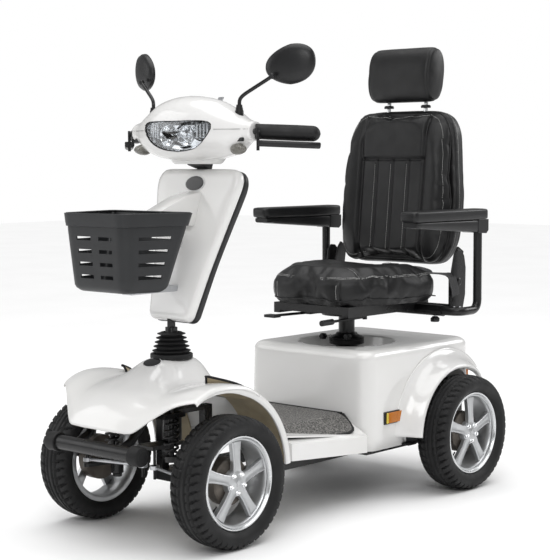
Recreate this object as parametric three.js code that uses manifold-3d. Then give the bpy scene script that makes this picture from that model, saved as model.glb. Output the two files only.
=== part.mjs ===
// Four-wheel mobility scooter, millimetres, +Z up, -Y forward, rider's left at +X.
// The origin is on the ground, midway between the axles and between the two bumpers.
import * as THREE from 'three';
import { mergeVertices } from 'three/addons/utils/BufferGeometryUtils.js';
import Module from 'manifold-3d';

const wasm = await Module();
wasm.setup();

// ---------------------------------------------------------------- driving dimensions
const GAP = 0.3;                       // between pieces that rest on each other
const TYRE_RADIUS = 166.5;
const TYRE_HALF_WIDTH = 51;
const RIM_LIP_RADIUS = 118.5;
const RIM_HALF_WIDTH = 38;
const BEAD_RADIUS = 108;
const WHEEL_SIDES = 24;
const AXLE_Y = 470;                    // both axles, ahead of and behind the origin
const FRONT_WHEEL_X = 245.6;
const REAR_WHEEL_X = 294.7;
const KINGPIN_X = 165;
const STEER_ARM = 85;                  // pitman arm and knuckle arms, all parallel
const PITMAN_X = 22;                   // sideways offset of every steering arm's eye
const STEM_Y = -425;
const TILT_Z = 560;                    // height of the tiller's tilt pivot
const TILLER_LEAN = 17.5;              // degrees, tiller leaning back at rest
const HEAD_Y = -338;
const HEAD_Z = 1043;
const DASH_ANGLE = 35;                 // degrees, instrument panel tipped toward the rider
const BAR_INNER = [214, -335, 1033];   // where each handlebar end leaves the head
const BAR_OUTER = [338, -227, 1026];
const RAIL_X = 80;
const RAIL_BOTTOM = 112;
const RAIL_TOP = 142;
const COVER_HALF_WIDTH = 229;
const COVER_FRONT = 105;
const COVER_REAR = 609;
const COVER_TOP = 428;
const WALL = 5;                        // moulded panels
const SEAT_Y = 295;                    // seat post axis
const SEAT_PLATE_Z = 505;
const CUSHION_BOTTOM = 546;
const CUSHION_TOP = 642;
const BACK_LEAN = 6;                   // degrees, backrest leaning back at rest
const RECLINE = [0, 520, 600];
const ARM_X = 290;
const ARM_Y = 548;
const ARM_PIVOT_Z = 770;
const TUBE_RADIUS = 12.7;
const BUMPER_Y = 690;
const BUMPER_Z = 250;

// ---------------------------------------------------------------- materials
function finish(color, roughness, metalness) {
  return new THREE.MeshStandardMaterial({ color, roughness, metalness });
}
const WHITE_PANEL = finish(0xf1f0ee, 0.2, 0);
const BLACK_PLASTIC = finish(0x17181a, 0.5, 0);
const GREY_PLASTIC = finish(0x2c2e30, 0.55, 0);
const BLACK_STEEL = finish(0x141516, 0.4, 0.6);
const ZINC_STEEL = finish(0xb4b8bc, 0.35, 0.9);
const ALLOY = finish(0xc9cccf, 0.3, 0.9);
const TYRE_RUBBER = finish(0x101112, 0.85, 0);
const SOFT_RUBBER = finish(0x131314, 0.7, 0);
const LEATHERETTE = finish(0x0e0e10, 0.5, 0);
const CARPET = finish(0x77746e, 0.95, 0);
const CLEAR_LENS = finish(0xdfe6ea, 0.05, 0);

// ---------------------------------------------------------------- solid helpers
function weld(geometry) {
  const bare = geometry.clone();
  bare.deleteAttribute('normal');
  bare.deleteAttribute('uv');
  const merged = mergeVertices(bare, 1e-3);
  const corners = merged.index.array;
  const kept = [];
  for (let i = 0; i < corners.length; i += 3) {
    const [a, b, c] = [corners[i], corners[i + 1], corners[i + 2]];
    if (a !== b && b !== c && c !== a) kept.push(a, b, c);
  }
  merged.setIndex(kept);
  return merged;
}

function signedVolume(geometry) {
  const at = geometry.getAttribute('position');
  const corners = geometry.index.array;
  const [a, b, c] = [new THREE.Vector3(), new THREE.Vector3(), new THREE.Vector3()];
  let total = 0;
  for (let i = 0; i < corners.length; i += 3) {
    a.fromBufferAttribute(at, corners[i]);
    b.fromBufferAttribute(at, corners[i + 1]);
    c.fromBufferAttribute(at, corners[i + 2]);
    total += a.dot(b.cross(c));
  }
  return total;
}

// A closed geometry as a solid, with its faces turned outward.
function solid(geometry) {
  const welded = weld(geometry);
  const corners = Uint32Array.from(welded.index.array);
  if (signedVolume(welded) < 0) corners.reverse();
  const vertProperties = Float32Array.from(welded.getAttribute('position').array);
  return new wasm.Manifold(new wasm.Mesh({ numProp: 3, vertProperties, triVerts: corners }));
}

function join(...geometries) {
  return geometries.map(solid).reduce((total, next) => total.add(next));
}

function cut(body, ...tools) {
  return tools.reduce((left, tool) => left.subtract(solid(tool)), body);
}

function faceted(body) {
  const mesh = body.getMesh();
  const geometry = new THREE.BufferGeometry();
  geometry.setAttribute('position', new THREE.BufferAttribute(mesh.vertProperties, 3));
  geometry.setIndex(new THREE.BufferAttribute(mesh.triVerts, 1));
  const flat = geometry.toNonIndexed();
  flat.computeVertexNormals();
  return flat;
}

const scooter = new THREE.Group();

function part(name, body, material) {
  const mesh = new THREE.Mesh(faceted(body), material);
  mesh.name = name;
  scooter.add(mesh);
}

// ---------------------------------------------------------------- shape helpers
function block(x0, x1, y0, y1, z0, z1) {
  const box = new THREE.BoxGeometry(x1 - x0, y1 - y0, z1 - z0);
  return box.translate((x0 + x1) / 2, (y0 + y1) / 2, (z0 + z1) / 2);
}

// A block on either side, from |x| = x0 to x1.
function sideBlock(side, x0, x1, y0, y1, z0, z1) {
  return block(Math.min(side * x0, side * x1), Math.max(side * x0, side * x1), y0, y1, z0, z1);
}

// Moves a geometry built along +Z so that it runs from one point towards another.
function aim(geometry, from, to) {
  const start = new THREE.Vector3(...from);
  const direction = new THREE.Vector3(...to).sub(start).normalize();
  const turn = new THREE.Quaternion().setFromUnitVectors(new THREE.Vector3(0, 0, 1), direction);
  return geometry.applyQuaternion(turn).translate(...from);
}

function distance(from, to) {
  return new THREE.Vector3(...from).distanceTo(new THREE.Vector3(...to));
}

function rod(radius, from, to, sides = 10) {
  const length = distance(from, to);
  const geometry = new THREE.CylinderGeometry(radius, radius, length, sides);
  geometry.rotateX(Math.PI / 2).translate(0, 0, length / 2);
  return aim(geometry, from, to);
}

// Turns a profile of [radius, height] points about +Z. It closes on itself or on the axis.
function turned(profile, sides = 16) {
  const points = profile.map(([r, h]) => new THREE.Vector2(r, h));
  const first = profile[0];
  const last = profile[profile.length - 1];
  if (first[0] > 0 || last[0] > 0) points.push(new THREE.Vector2(...first));
  return new THREE.LatheGeometry(points, sides).rotateX(Math.PI / 2);
}

function sleeve(inner, outer, from, to, sides = 12) {
  const length = distance(from, to);
  const tube = turned([[inner, 0], [outer, 0], [outer, length], [inner, length]], sides);
  return aim(tube, from, to);
}

// Skins a list of rings, each with the same number of points, and caps both convex ends.
function loft(rings) {
  const count = rings[0].length;
  const positions = rings.flat(2);
  const corners = [];
  for (let r = 0; r + 1 < rings.length; r++) {
    for (let i = 0; i < count; i++) {
      const a = r * count + i;
      const b = r * count + (i + 1) % count;
      corners.push(a, b, b + count, a, b + count, a + count);
    }
  }
  const top = (rings.length - 1) * count;
  for (let i = 1; i + 1 < count; i++) corners.push(0, i + 1, i, top, top + i, top + i + 1);
  const geometry = new THREE.BufferGeometry();
  geometry.setAttribute('position', new THREE.Float32BufferAttribute(positions, 3));
  geometry.setIndex(corners);
  return geometry;
}

// A closed superellipse of points [u, v]; power 2 is an ellipse, higher is boxier.
function superellipse(halfU, halfV, power, count) {
  return Array.from({ length: count }, (_, i) => {
    const angle = (2 * Math.PI * i) / count;
    const [c, s] = [Math.cos(angle), Math.sin(angle)];
    const u = halfU * Math.sign(c) * Math.abs(c) ** (2 / power);
    const v = halfV * Math.sign(s) * Math.abs(s) ** (2 / power);
    return [u, v];
  });
}

// A closed panel between two grids of points of the same size.
function panel(outer, inner) {
  const rows = outer.length;
  const columns = outer[0].length;
  const positions = [...outer.flat(2), ...inner.flat(2)];
  const back = rows * columns;
  const corners = [];
  const quad = (a, b, c, d) => corners.push(a, b, c, a, c, d);
  for (let i = 0; i + 1 < rows; i++) {
    for (let j = 0; j + 1 < columns; j++) {
      const a = i * columns + j;
      quad(a, a + 1, a + columns + 1, a + columns);
      quad(back + a, back + a + columns, back + a + columns + 1, back + a + 1);
    }
  }
  const lastRow = (rows - 1) * columns;
  for (let j = 0; j + 1 < columns; j++) {
    quad(j, back + j, back + j + 1, j + 1);
    quad(lastRow + j, lastRow + j + 1, back + lastRow + j + 1, back + lastRow + j);
  }
  for (let i = 0; i + 1 < rows; i++) {
    const near = i * columns;
    const far = near + columns - 1;
    quad(near, near + columns, back + near + columns, back + near);
    quad(far, back + far, back + far + columns, far + columns);
  }
  const geometry = new THREE.BufferGeometry();
  geometry.setAttribute('position', new THREE.Float32BufferAttribute(positions, 3));
  geometry.setIndex(corners);
  return geometry;
}

// A flat outline of [x, y] points, standing on its XY plane from z0 to z1.
function prism(outline, z0, z1) {
  return loft([z0, z1].map((z) => outline.map(([x, y]) => [x, y, z])));
}

// A slot-shaped plate between two points in plan.
function link(from, to, width, z0, z1) {
  const angle = Math.atan2(to[1] - from[1], to[0] - from[0]);
  const half = width / 2;
  const round = (centre, start) => Array.from({ length: 7 }, (_, i) => {
    const turn = angle + start + (Math.PI * i) / 6;
    return [centre[0] + half * Math.cos(turn), centre[1] + half * Math.sin(turn)];
  });
  return prism([...round(to, -Math.PI / 2), ...round(from, Math.PI / 2)], z0, z1);
}

function radians(degrees) {
  return THREE.MathUtils.degToRad(degrees);
}

// Carries geometry from the upright tiller's own frame to the leaning tiller.
function lean(geometry) {
  return geometry.rotateX(-radians(TILLER_LEAN)).translate(0, STEM_Y, TILT_Z);
}

// Carries geometry from the upright backrest's own frame to the leaning backrest.
function reclined(geometry) {
  return geometry.rotateX(-radians(BACK_LEAN)).translate(...RECLINE);
}

// ---------------------------------------------------------------- wheels
function tyre() {
  const bead = RIM_HALF_WIDTH - 5;
  const half = [
    [BEAD_RADIUS + GAP, bead],
    [RIM_LIP_RADIUS + 1, bead],
    [TYRE_RADIUS - 25, TYRE_HALF_WIDTH],
    [TYRE_RADIUS - 8, TYRE_HALF_WIDTH - 5],
    [TYRE_RADIUS, TYRE_HALF_WIDTH - 25],
  ];
  const mirrored = half.map(([r, h]) => [r, -h]).reverse();
  return turned([...half, ...mirrored], WHEEL_SIDES).rotateX(-Math.PI / 2).rotateZ(-Math.PI / 2);
}

function rim() {
  const lip = RIM_HALF_WIDTH;
  const seat = RIM_HALF_WIDTH - 5 + GAP;
  const inside = BEAD_RADIUS - 9;
  const barrel = turned([
    [inside, lip], [RIM_LIP_RADIUS, lip], [RIM_LIP_RADIUS, seat], [BEAD_RADIUS, seat],
    [BEAD_RADIUS, -seat], [RIM_LIP_RADIUS, -seat], [RIM_LIP_RADIUS, -lip], [inside, -lip],
  ], WHEEL_SIDES).rotateX(-Math.PI / 2).rotateZ(-Math.PI / 2);
  const hub = turned([[0, 32], [34, 32], [34, -12], [11, -12], [11, 24], [0, 24]], 16);
  hub.rotateX(-Math.PI / 2).rotateZ(-Math.PI / 2);
  const spokes = Array.from({ length: 5 }, (_, i) => {
    const spoke = block(16, 30, -15, 15, 26, inside + 3);
    return spoke.rotateX((2 * Math.PI * i) / 5);
  });
  return join(barrel, hub, ...spokes);
}

function wheel(place, side, x, y) {
  const name = `${place}_${side > 0 ? 'left' : 'right'}`;
  const turnOut = side > 0 ? 0 : Math.PI;
  const tyreBody = solid(tyre().rotateZ(turnOut).translate(side * x, y, TYRE_RADIUS));
  part(`tyre_${name}`, tyreBody, TYRE_RUBBER);
  const rimBody = solid(faceted(rim()).rotateZ(turnOut).translate(side * x, y, TYRE_RADIUS));
  part(`rim_${name}`, rimBody, ALLOY);
}

for (const side of [1, -1]) {
  wheel('front', side, FRONT_WHEEL_X, -AXLE_Y);
  wheel('rear', side, REAR_WHEEL_X, AXLE_Y);
}

// ---------------------------------------------------------------- chassis frame
const STRUT = [110, -535];             // telescopic front strut, in plan
const TOWER_BOTTOM = 320;
const TOWER_TOP = 332;
const FRAME_FRONT = -396;              // front uprights, close behind the steering column
const STEM_RADIUS = 16;
const BUMPER_TUBE = 11;
const BUMPER_BAR = 18.5;
const BUMPER_HALF = 171;

function bumper(y) {
  const cap = 24.5;
  const capLength = 36;
  return join(
    rod(BUMPER_BAR, [-BUMPER_HALF + 5, y, BUMPER_Z], [BUMPER_HALF - 5, y, BUMPER_Z], 16),
    rod(cap, [-BUMPER_HALF, y, BUMPER_Z], [capLength - BUMPER_HALF, y, BUMPER_Z], 16),
    rod(cap, [BUMPER_HALF - capLength, y, BUMPER_Z], [BUMPER_HALF, y, BUMPER_Z], 16),
  );
}

function frameSide(side) {
  const x = side * RAIL_X;
  const middle = (RAIL_BOTTOM + RAIL_TOP) / 2;
  const tower = (TOWER_BOTTOM + TOWER_TOP) / 2;
  return [
    sideBlock(side, 65, 95, FRAME_FRONT, 560, RAIL_BOTTOM, RAIL_TOP),
    sideBlock(side, 70, 92, FRAME_FRONT, FRAME_FRONT + 26, RAIL_TOP - 5, TOWER_TOP),
    sideBlock(side, 68, 92, -610, FRAME_FRONT + 26, TOWER_BOTTOM, TOWER_TOP),
    sideBlock(side, 88, 126, -572, -500, TOWER_BOTTOM, TOWER_TOP),
    rod(BUMPER_TUBE, [x, -590, tower], [x, -648, 266]),
    rod(BUMPER_TUBE, [x, -644, 270], [x, -BUMPER_Y, BUMPER_Z]),
    rod(BUMPER_TUBE, [x, 550, middle], [x, 642, middle]),
    rod(BUMPER_TUBE, [x, 638, middle], [x, BUMPER_Y, BUMPER_Z]),
    sideBlock(side, 70, 90, 515, 545, RAIL_TOP - 5, 249),
  ];
}

const strutHoles = [1, -1].map((side) => {
  const x = side * STRUT[0];
  return rod(8.2, [x, STRUT[1], TOWER_BOTTOM - 5], [x, STRUT[1], TOWER_TOP + 5]);
});
const frame = cut(
  join(
    ...frameSide(1),
    ...frameSide(-1),
    block(-70, 70, FRAME_FRONT, FRAME_FRONT + 26, RAIL_BOTTOM, RAIL_TOP),
    block(-70, 70, -330, -300, RAIL_BOTTOM, RAIL_TOP),
    block(-210, 210, 125, 385, RAIL_TOP - 6, RAIL_TOP),
    block(-70, 70, 530, 560, RAIL_BOTTOM, RAIL_TOP - 2),
    block(-90, 90, 500, 588, 243, 249),
    block(-75, 75, -445, -405, TOWER_BOTTOM, TOWER_TOP),
    rod(25, [0, STEM_Y, 236], [0, STEM_Y, 400], 16),
    faceted(bumper(BUMPER_Y)),
  ),
  rod(STEM_RADIUS + 0.8, [0, STEM_Y, 230], [0, STEM_Y, 405], 16),
  rod(BUMPER_BAR + GAP, [-130, -BUMPER_Y, BUMPER_Z], [130, -BUMPER_Y, BUMPER_Z], 16),
  ...strutHoles,
);
part('chassis_frame', frame, BLACK_STEEL);
part('bumper_bar', bumper(-BUMPER_Y), BLACK_PLASTIC);

// ---------------------------------------------------------------- front suspension and steering
const ARM_PLATE = [208, 222];          // bottom and top of each strut's link plate
const TIE_ROD_Z = 177;

function frontCorner(side) {
  const hand = side > 0 ? 'left' : 'right';
  const pin = [side * KINGPIN_X, -AXLE_Y];
  const strut = [side * STRUT[0], STRUT[1]];
  const eye = [side * (KINGPIN_X + PITMAN_X), -AXLE_Y - STEER_ARM];
  const inner = [side * PITMAN_X, STEM_Y - STEER_ARM];

  const upright = join(
    link(strut, pin, 34, ...ARM_PLATE),
    rod(7, [...strut, ARM_PLATE[0] + 5], [...strut, 352]),
    rod(8, [...pin, 124], [...pin, ARM_PLATE[0] + 5]),
    rod(13, [...pin, 122], [...pin, 130]),
  );
  part(`upright_${hand}`, upright, BLACK_STEEL);

  const coil = turned([
    [12, ARM_PLATE[1] + GAP], [20, ARM_PLATE[1] + GAP],
    [20, TOWER_BOTTOM - GAP], [12, TOWER_BOTTOM - GAP],
  ]);
  part(`front_spring_${hand}`, solid(coil.translate(...strut, 0)), BLACK_STEEL);

  const knuckle = cut(
    join(
      rod(17, [...pin, 132], [...pin, 206], 16),
      rod(10, [...pin, TYRE_RADIUS], [side * (FRONT_WHEEL_X + 20), -AXLE_Y, TYRE_RADIUS], 16),
      link(pin, eye, 20, 158, 168),
      rod(5, [...eye, 163], [...eye, 190]),
    ),
    rod(8.7, [...pin, 120], [...pin, 215]),
  );
  part(`knuckle_${hand}`, knuckle, BLACK_STEEL);

  const rodBottom = TIE_ROD_Z - 5;
  const rodTop = TIE_ROD_Z + 5;
  const tieRod = cut(
    join(
      rod(11, [...eye, rodBottom], [...eye, rodTop]),
      rod(13, [...inner, rodBottom], [...inner, rodTop], 16),
      rod(4.5, [...eye, TIE_ROD_Z], [...inner, TIE_ROD_Z], 8),
    ),
    rod(5.6, [...eye, rodBottom - 5], [...eye, rodTop + 5]),
    rod(8.5, [...inner, rodBottom - 5], [...inner, rodTop + 5]),
  );
  part(`tie_rod_${hand}`, tieRod, ZINC_STEEL);
}

frontCorner(1);
frontCorner(-1);

const PITMAN_Z = 222;
const LUG = 6;                         // half thickness of the stem's top lug
const LUG_RADIUS = 9;
const TILT_PIN = 4;
const pitmanPins = [1, -1].map((side) => {
  const place = [side * PITMAN_X, STEM_Y - STEER_ARM];
  return rod(4, [...place, 146], [...place, PITMAN_Z + 5], 10);
});
const stem = cut(
  join(
    rod(STEM_RADIUS, [0, STEM_Y, PITMAN_Z], [0, STEM_Y, 530], 16),
    prism([[-30, -523], [30, -523], [22, -403], [-22, -403]], PITMAN_Z, PITMAN_Z + 10),
    block(-LUG, LUG, STEM_Y - LUG_RADIUS, STEM_Y + LUG_RADIUS, 525, TILT_Z),
    rod(LUG_RADIUS, [-LUG, STEM_Y, TILT_Z], [LUG, STEM_Y, TILT_Z], 16),
    ...pitmanPins,
  ),
  rod(TILT_PIN + 0.8, [-20, STEM_Y, TILT_Z], [20, STEM_Y, TILT_Z], 12),
);
part('steering_stem', stem, BLACK_STEEL);

const BELLOWS_BASE = 450;
const bellowsRibs = Array.from({ length: 4 }, (_, i) => [
  [50 - 3 * i, BELLOWS_BASE + 18 + 12 * i],
  [42 - 3 * i, BELLOWS_BASE + 24 + 12 * i],
]).flat();
const bellows = turned([
  [30, BELLOWS_BASE], [55, BELLOWS_BASE], [55, BELLOWS_BASE + 11],
  ...bellowsRibs, [34, BELLOWS_BASE + 68], [22, BELLOWS_BASE + 68],
], 16);
part('stem_bellows', solid(bellows.translate(0, STEM_Y, 0)), SOFT_RUBBER);

// ---------------------------------------------------------------- front shroud
// Each station is a fore-and-aft outline of the hood at one distance from the middle.
const HOOD = [
  [0, [[-683, 296], [-664, 335], [-624, 372], [-572, 399], [-510, 434], [-470, 448],
    [-380, 448], [-364, 420], [-352, 380]]],
  [60, [[-681, 296], [-661, 335], [-622, 374], [-570, 400], [-512, 426], [-472, 440],
    [-382, 440], [-366, 415], [-354, 378]]],
  [110, [[-674, 298], [-655, 335], [-615, 373], [-560, 397], [-505, 404], [-455, 405],
    [-410, 402], [-378, 392], [-356, 374]]],
  [150, [[-650, 328], [-632, 352], [-600, 376], [-555, 395], [-505, 402], [-455, 402],
    [-415, 397], [-382, 388], [-358, 372]]],
  [200, [[-612, 362], [-598, 375], [-575, 388], [-545, 398], [-505, 403], [-455, 402],
    [-415, 396], [-382, 385], [-358, 370]]],
  [244, [[-581, 375], [-570, 385], [-552, 393], [-530, 399], [-500, 403], [-455, 402],
    [-415, 395], [-382, 383], [-358, 368]]],
];
const FENDER_INNER = 214;
const FENDER_OUTER = 232;
const FENDER_X = [225, 246];           // arch band beside the footwell

function inset(outline, depth) {
  return outline.map((point, i) => {
    const before = outline[Math.max(i - 1, 0)];
    const after = outline[Math.min(i + 1, outline.length - 1)];
    const [dy, dz] = [after[0] - before[0], after[1] - before[1]];
    const length = Math.hypot(dy, dz);
    return [point[0] + (depth * dz) / length, point[1] - (depth * dy) / length];
  });
}

function hood() {
  const rightHalf = HOOD.slice(1).reverse().map(([x, outline]) => [-x, outline]);
  const stations = [...rightHalf, ...HOOD];
  const skin = (depth) => stations.map(([x, outline]) =>
    inset(outline, depth).map(([y, z]) => [x, y, z]));
  return panel(skin(0), skin(WALL));
}

// A ring sector about an axle, seen along X, from one angle to another above the rearward line.
function arch(inner, outer, x0, x1, axleY, start, end, steps) {
  const ring = (radius, x) => Array.from({ length: steps + 1 }, (_, i) => {
    const angle = radians(start + ((end - start) * i) / steps);
    return [x, axleY + radius * Math.cos(angle), TYRE_RADIUS + radius * Math.sin(angle)];
  });
  return panel([ring(outer, x0), ring(outer, x1)], [ring(inner, x0), ring(inner, x1)]);
}

const shroud = cut(
  join(
    hood(),
    arch(FENDER_INNER, FENDER_OUTER, ...FENDER_X, -AXLE_Y, 2.5, 100, 8),
    arch(FENDER_INNER, FENDER_OUTER, -FENDER_X[1], -FENDER_X[0], -AXLE_Y, 2.5, 100, 8),
  ),
  rod(38, [0, STEM_Y, 380], [0, STEM_Y, 480], 16),
);
part('front_shroud', shroud, WHITE_PANEL);

// ---------------------------------------------------------------- floor pan and mat
const TOE_RADIUS = 229;                // toe board, about the front axle
const TOE_TOP = 50;                    // degrees up the toe board
const SILL_SLOPE = 0.09;               // sills rise toward the front

// Height of the crowned floor at a distance from the middle, just ahead of the rear cover.
function floorZ(x) {
  const distanceOut = Math.abs(x);
  if (distanceOut < 140) return 244;
  return 244 - (distanceOut - 140) * 0.52;
}

function floorPan() {
  const toeX = FENDER_X[0] - 0.6;
  const across = [-toeX, -140, 0, 140, toeX];
  const front = -AXLE_Y + TOE_RADIUS - 9;
  const rear = COVER_FRONT - GAP;
  const deck = (drop) => across.map((x) => [
    [x, front, 246 - drop], [x, rear, floorZ(x) - drop],
  ]);
  const sill = (side) => {
    const outline = (y, x, rise) => [
      [side * x, y, 149 + rise], [side * x, y, 195 + rise],
      [side * (toeX - 12), y, 204 + rise * 0.9], [side * (toeX - 12), y, 149 + rise],
    ];
    const rise = SILL_SLOPE * (rear - front - 20);
    return loft([outline(front + 20, FENDER_X[1] - 1, rise), outline(rear, COVER_HALF_WIDTH, 0)]);
  };
  return join(
    panel(deck(0), deck(WALL)),
    sill(1),
    sill(-1),
    arch(TOE_RADIUS, TOE_RADIUS + 8, -toeX, toeX, -AXLE_Y, 17, TOE_TOP, 5),
  );
}
part('floor_pan', floorPan(), WHITE_PANEL);

function floorMat() {
  const across = [-214, -140, 0, 140, 214];
  const front = -AXLE_Y + TOE_RADIUS + 30;
  const rear = COVER_FRONT - 2;
  const rows = (lift) => across.map((x) => {
    const toe = TOE_RADIUS + 8 + lift;
    const upToe = [TOE_TOP + 8, TOE_TOP - 4, 34, 24].map((angle) => [
      x,
      -AXLE_Y + toe * Math.cos(radians(angle)),
      TYRE_RADIUS + toe * Math.sin(radians(angle)),
    ]);
    return [...upToe, [x, front, 247 + lift], [x, rear, floorZ(x) + 1 + lift]];
  });
  return solid(panel(rows(6), rows(1.2)));
}
part('floor_mat', floorMat(), CARPET);

// ---------------------------------------------------------------- rear cover
function roundedBox(halfWidth, y0, y1, z0, z1, corner, roll) {
  const [x, half] = [halfWidth - roll, (y1 - y0) / 2 - roll];
  const r = corner - roll;
  const shape = new THREE.Shape();
  shape.moveTo(-x + r, -half);
  shape.lineTo(x - r, -half);
  shape.absarc(x - r, -half + r, r, -Math.PI / 2, 0, false);
  shape.absarc(x - r, half - r, r, 0, Math.PI / 2, false);
  shape.absarc(-x + r, half - r, r, Math.PI / 2, Math.PI, false);
  shape.absarc(-x + r, -half + r, r, Math.PI, 1.5 * Math.PI, false);
  const body = new THREE.ExtrudeGeometry(shape, {
    depth: z1 - z0 - 2 * roll, bevelThickness: roll, bevelSize: roll, bevelSegments: 2,
    curveSegments: 3,
  });
  return body.translate(0, (y0 + y1) / 2, z0 + roll);
}

const FLARE_INNER = 188;
const FLARE_OUTER = 203;
const FLARE_X = 288;
const RECESS_RADIUS = 140;
const RECESS_FLOOR = 384;
const COVER_BOTTOM = 148;

function rearCover() {
  const skirt = 60;
  const outside = solid(roundedBox(
    COVER_HALF_WIDTH, COVER_FRONT, COVER_REAR, skirt, COVER_TOP, 42, 24));
  const inside = roundedBox(
    COVER_HALF_WIDTH - WALL, COVER_FRONT + WALL, COVER_REAR - WALL, skirt - 40,
    COVER_TOP - WALL, 38, 20);
  const flares = [1, -1].map((side) => {
    const ends = [side * (COVER_HALF_WIDTH - 8), side * FLARE_X].sort((a, b) => a - b);
    return solid(arch(FLARE_INNER, FLARE_OUTER, ...ends, AXLE_Y, 42, 175, 9));
  });
  const cup = turned([
    [RECESS_RADIUS + 4, COVER_TOP - 3], [RECESS_RADIUS + 4, RECESS_FLOOR - WALL],
    [34, RECESS_FLOOR - WALL], [34, RECESS_FLOOR], [RECESS_RADIUS, RECESS_FLOOR],
    [RECESS_RADIUS, COVER_TOP - 3],
  ], 20).translate(0, SEAT_Y, 0);
  const mouth = rod(RECESS_RADIUS, [0, SEAT_Y, RECESS_FLOOR + 5], [0, SEAT_Y, COVER_TOP + 5], 20);
  const hollow = cut(outside, inside, mouth, block(-400, 400, 0, 700, 0, COVER_BOTTOM));
  const axleSlot = rod(80, [-260, AXLE_Y, TYRE_RADIUS], [260, AXLE_Y, TYRE_RADIUS], 20);
  const rearSlot = block(-150, 150, COVER_REAR - 30, COVER_REAR + 10, 0, 190);
  return cut(hollow, axleSlot, rearSlot).add(solid(cup)).add(flares[0]).add(flares[1]);
}
part('rear_cover', rearCover(), WHITE_PANEL);

// ---------------------------------------------------------------- power unit
for (const side of [1, -1]) {
  const hand = side > 0 ? 'left' : 'right';
  const cell = join(
    sideBlock(side, 42, 206, 128, 382, RAIL_TOP + GAP, 345),
    sideBlock(side, 60, 76, 140, 156, 340, 354),
    sideBlock(side, 172, 188, 140, 156, 340, 354),
  );
  part(`battery_${hand}`, cell, GREY_PLASTIC);
}

const AXLE_TUBE = 24;
const tubeEnd = REAR_WHEEL_X - 58;
const transaxle = join(
  rod(AXLE_TUBE, [-tubeEnd, AXLE_Y, TYRE_RADIUS], [tubeEnd, AXLE_Y, TYRE_RADIUS], 16),
  rod(10, [-REAR_WHEEL_X - 20, AXLE_Y, TYRE_RADIUS], [REAR_WHEEL_X + 20, AXLE_Y, TYRE_RADIUS], 16),
  rod(44, [-58, AXLE_Y, TYRE_RADIUS + 2], [58, AXLE_Y, TYRE_RADIUS + 2], 16),
  rod(45, [0, AXLE_Y, 191], [0, 590, 191], 16),
);
part('transaxle', transaxle, ZINC_STEEL);
part('controller_box', solid(block(-80, 80, 502, 586, 249 + GAP, 290)), BLACK_PLASTIC);

// ---------------------------------------------------------------- tiller
const TILLER_HEIGHT = 396;
const TILLER_BOTTOM_HALF = 74;
const TILLER_TOP_HALF = 148;
const COLUMN_TOP = 470;

// The tiller's front outline, [across, up], shrunk by a margin.
function tillerOutline(margin) {
  const bottom = -12 + margin;
  const top = TILLER_HEIGHT - margin;
  const [foot, shoulder] = [TILLER_BOTTOM_HALF - margin, TILLER_TOP_HALF - margin];
  const half = [
    [foot - 8, bottom], [foot, bottom + 12], [foot + 22, 120], [shoulder - 2, top - 60],
    [shoulder, top - 34], [shoulder - 10, top - 10], [shoulder - 34, top],
  ];
  const mirrored = half.map(([x, z]) => [-x, z]).reverse();
  return [...half, ...mirrored];
}

function tillerSlab(margin, y0, y1) {
  return loft([y0, y1].map((y) => tillerOutline(margin).map(([x, z]) => [x, y, z])));
}

const HEAD_BAR_Y = BAR_INNER[1];
const HEAD_BAR_Z = BAR_INNER[2];
const LEVER_DROP = [-44, -27];         // lever's lower and upper face below the grip's axis
const GRIP_START = new THREE.Vector3(...BAR_INNER);
const GRIP_DIRECTION = new THREE.Vector3(...BAR_OUTER).sub(GRIP_START).normalize();

// A point beside the left handlebar end: along the bar, ahead of it and above it.
function besideBar(side, along, ahead, above) {
  const x = BAR_INNER[0] + GRIP_DIRECTION.x * along + GRIP_DIRECTION.y * ahead;
  const y = BAR_INNER[1] + GRIP_DIRECTION.y * along - GRIP_DIRECTION.x * ahead;
  const z = BAR_INNER[2] + GRIP_DIRECTION.z * along + above;
  return [side * x, y, z];
}

function handlebar(side) {
  const leverPin = besideBar(side, 9, 24, 0);
  const pinBottom = [leverPin[0], leverPin[1], HEAD_BAR_Z + LEVER_DROP[0] - 4];
  return [
    rod(9, [side * -8, HEAD_BAR_Y, HEAD_BAR_Z], besideBar(side, 0, 0, 0)),
    rod(8.7, besideBar(side, -5, 0, 0), besideBar(side, 160, 0, 0)),
    rod(5, besideBar(side, 9, 2, 0), besideBar(side, 9, 27, 0)),
    rod(4, pinBottom, [leverPin[0], leverPin[1], HEAD_BAR_Z + 7], 10),
  ];
}

const columnBody = join(
  lean(block(-14.5, -LUG - 1, -6, 12, -6, 40)),
  lean(block(LUG + 1, 14.5, -6, 12, -6, 40)),
  lean(block(-14.5, 14.5, -6, 20, 24, COLUMN_TOP)),
  rod(TILT_PIN, [-14, STEM_Y, TILT_Z], [14, STEM_Y, TILT_Z], 12),
  rod(12, [0, -292, 990], [0, HEAD_BAR_Y, HEAD_BAR_Z]),
  ...handlebar(1),
  ...handlebar(-1),
);
part('tiller_column', columnBody, BLACK_STEEL);

const coverFront = cut(
  solid(lean(tillerSlab(0, -12, 14))),
  lean(tillerSlab(WALL, -7, 30)),
  lean(block(-LUG - 3, LUG + 3, -LUG_RADIUS - 1.5, 30, -20, LUG_RADIUS + 3)),
  lean(block(-16, 16, -8, 30, TILLER_HEIGHT - 20, TILLER_HEIGHT + 20)),
);
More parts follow.
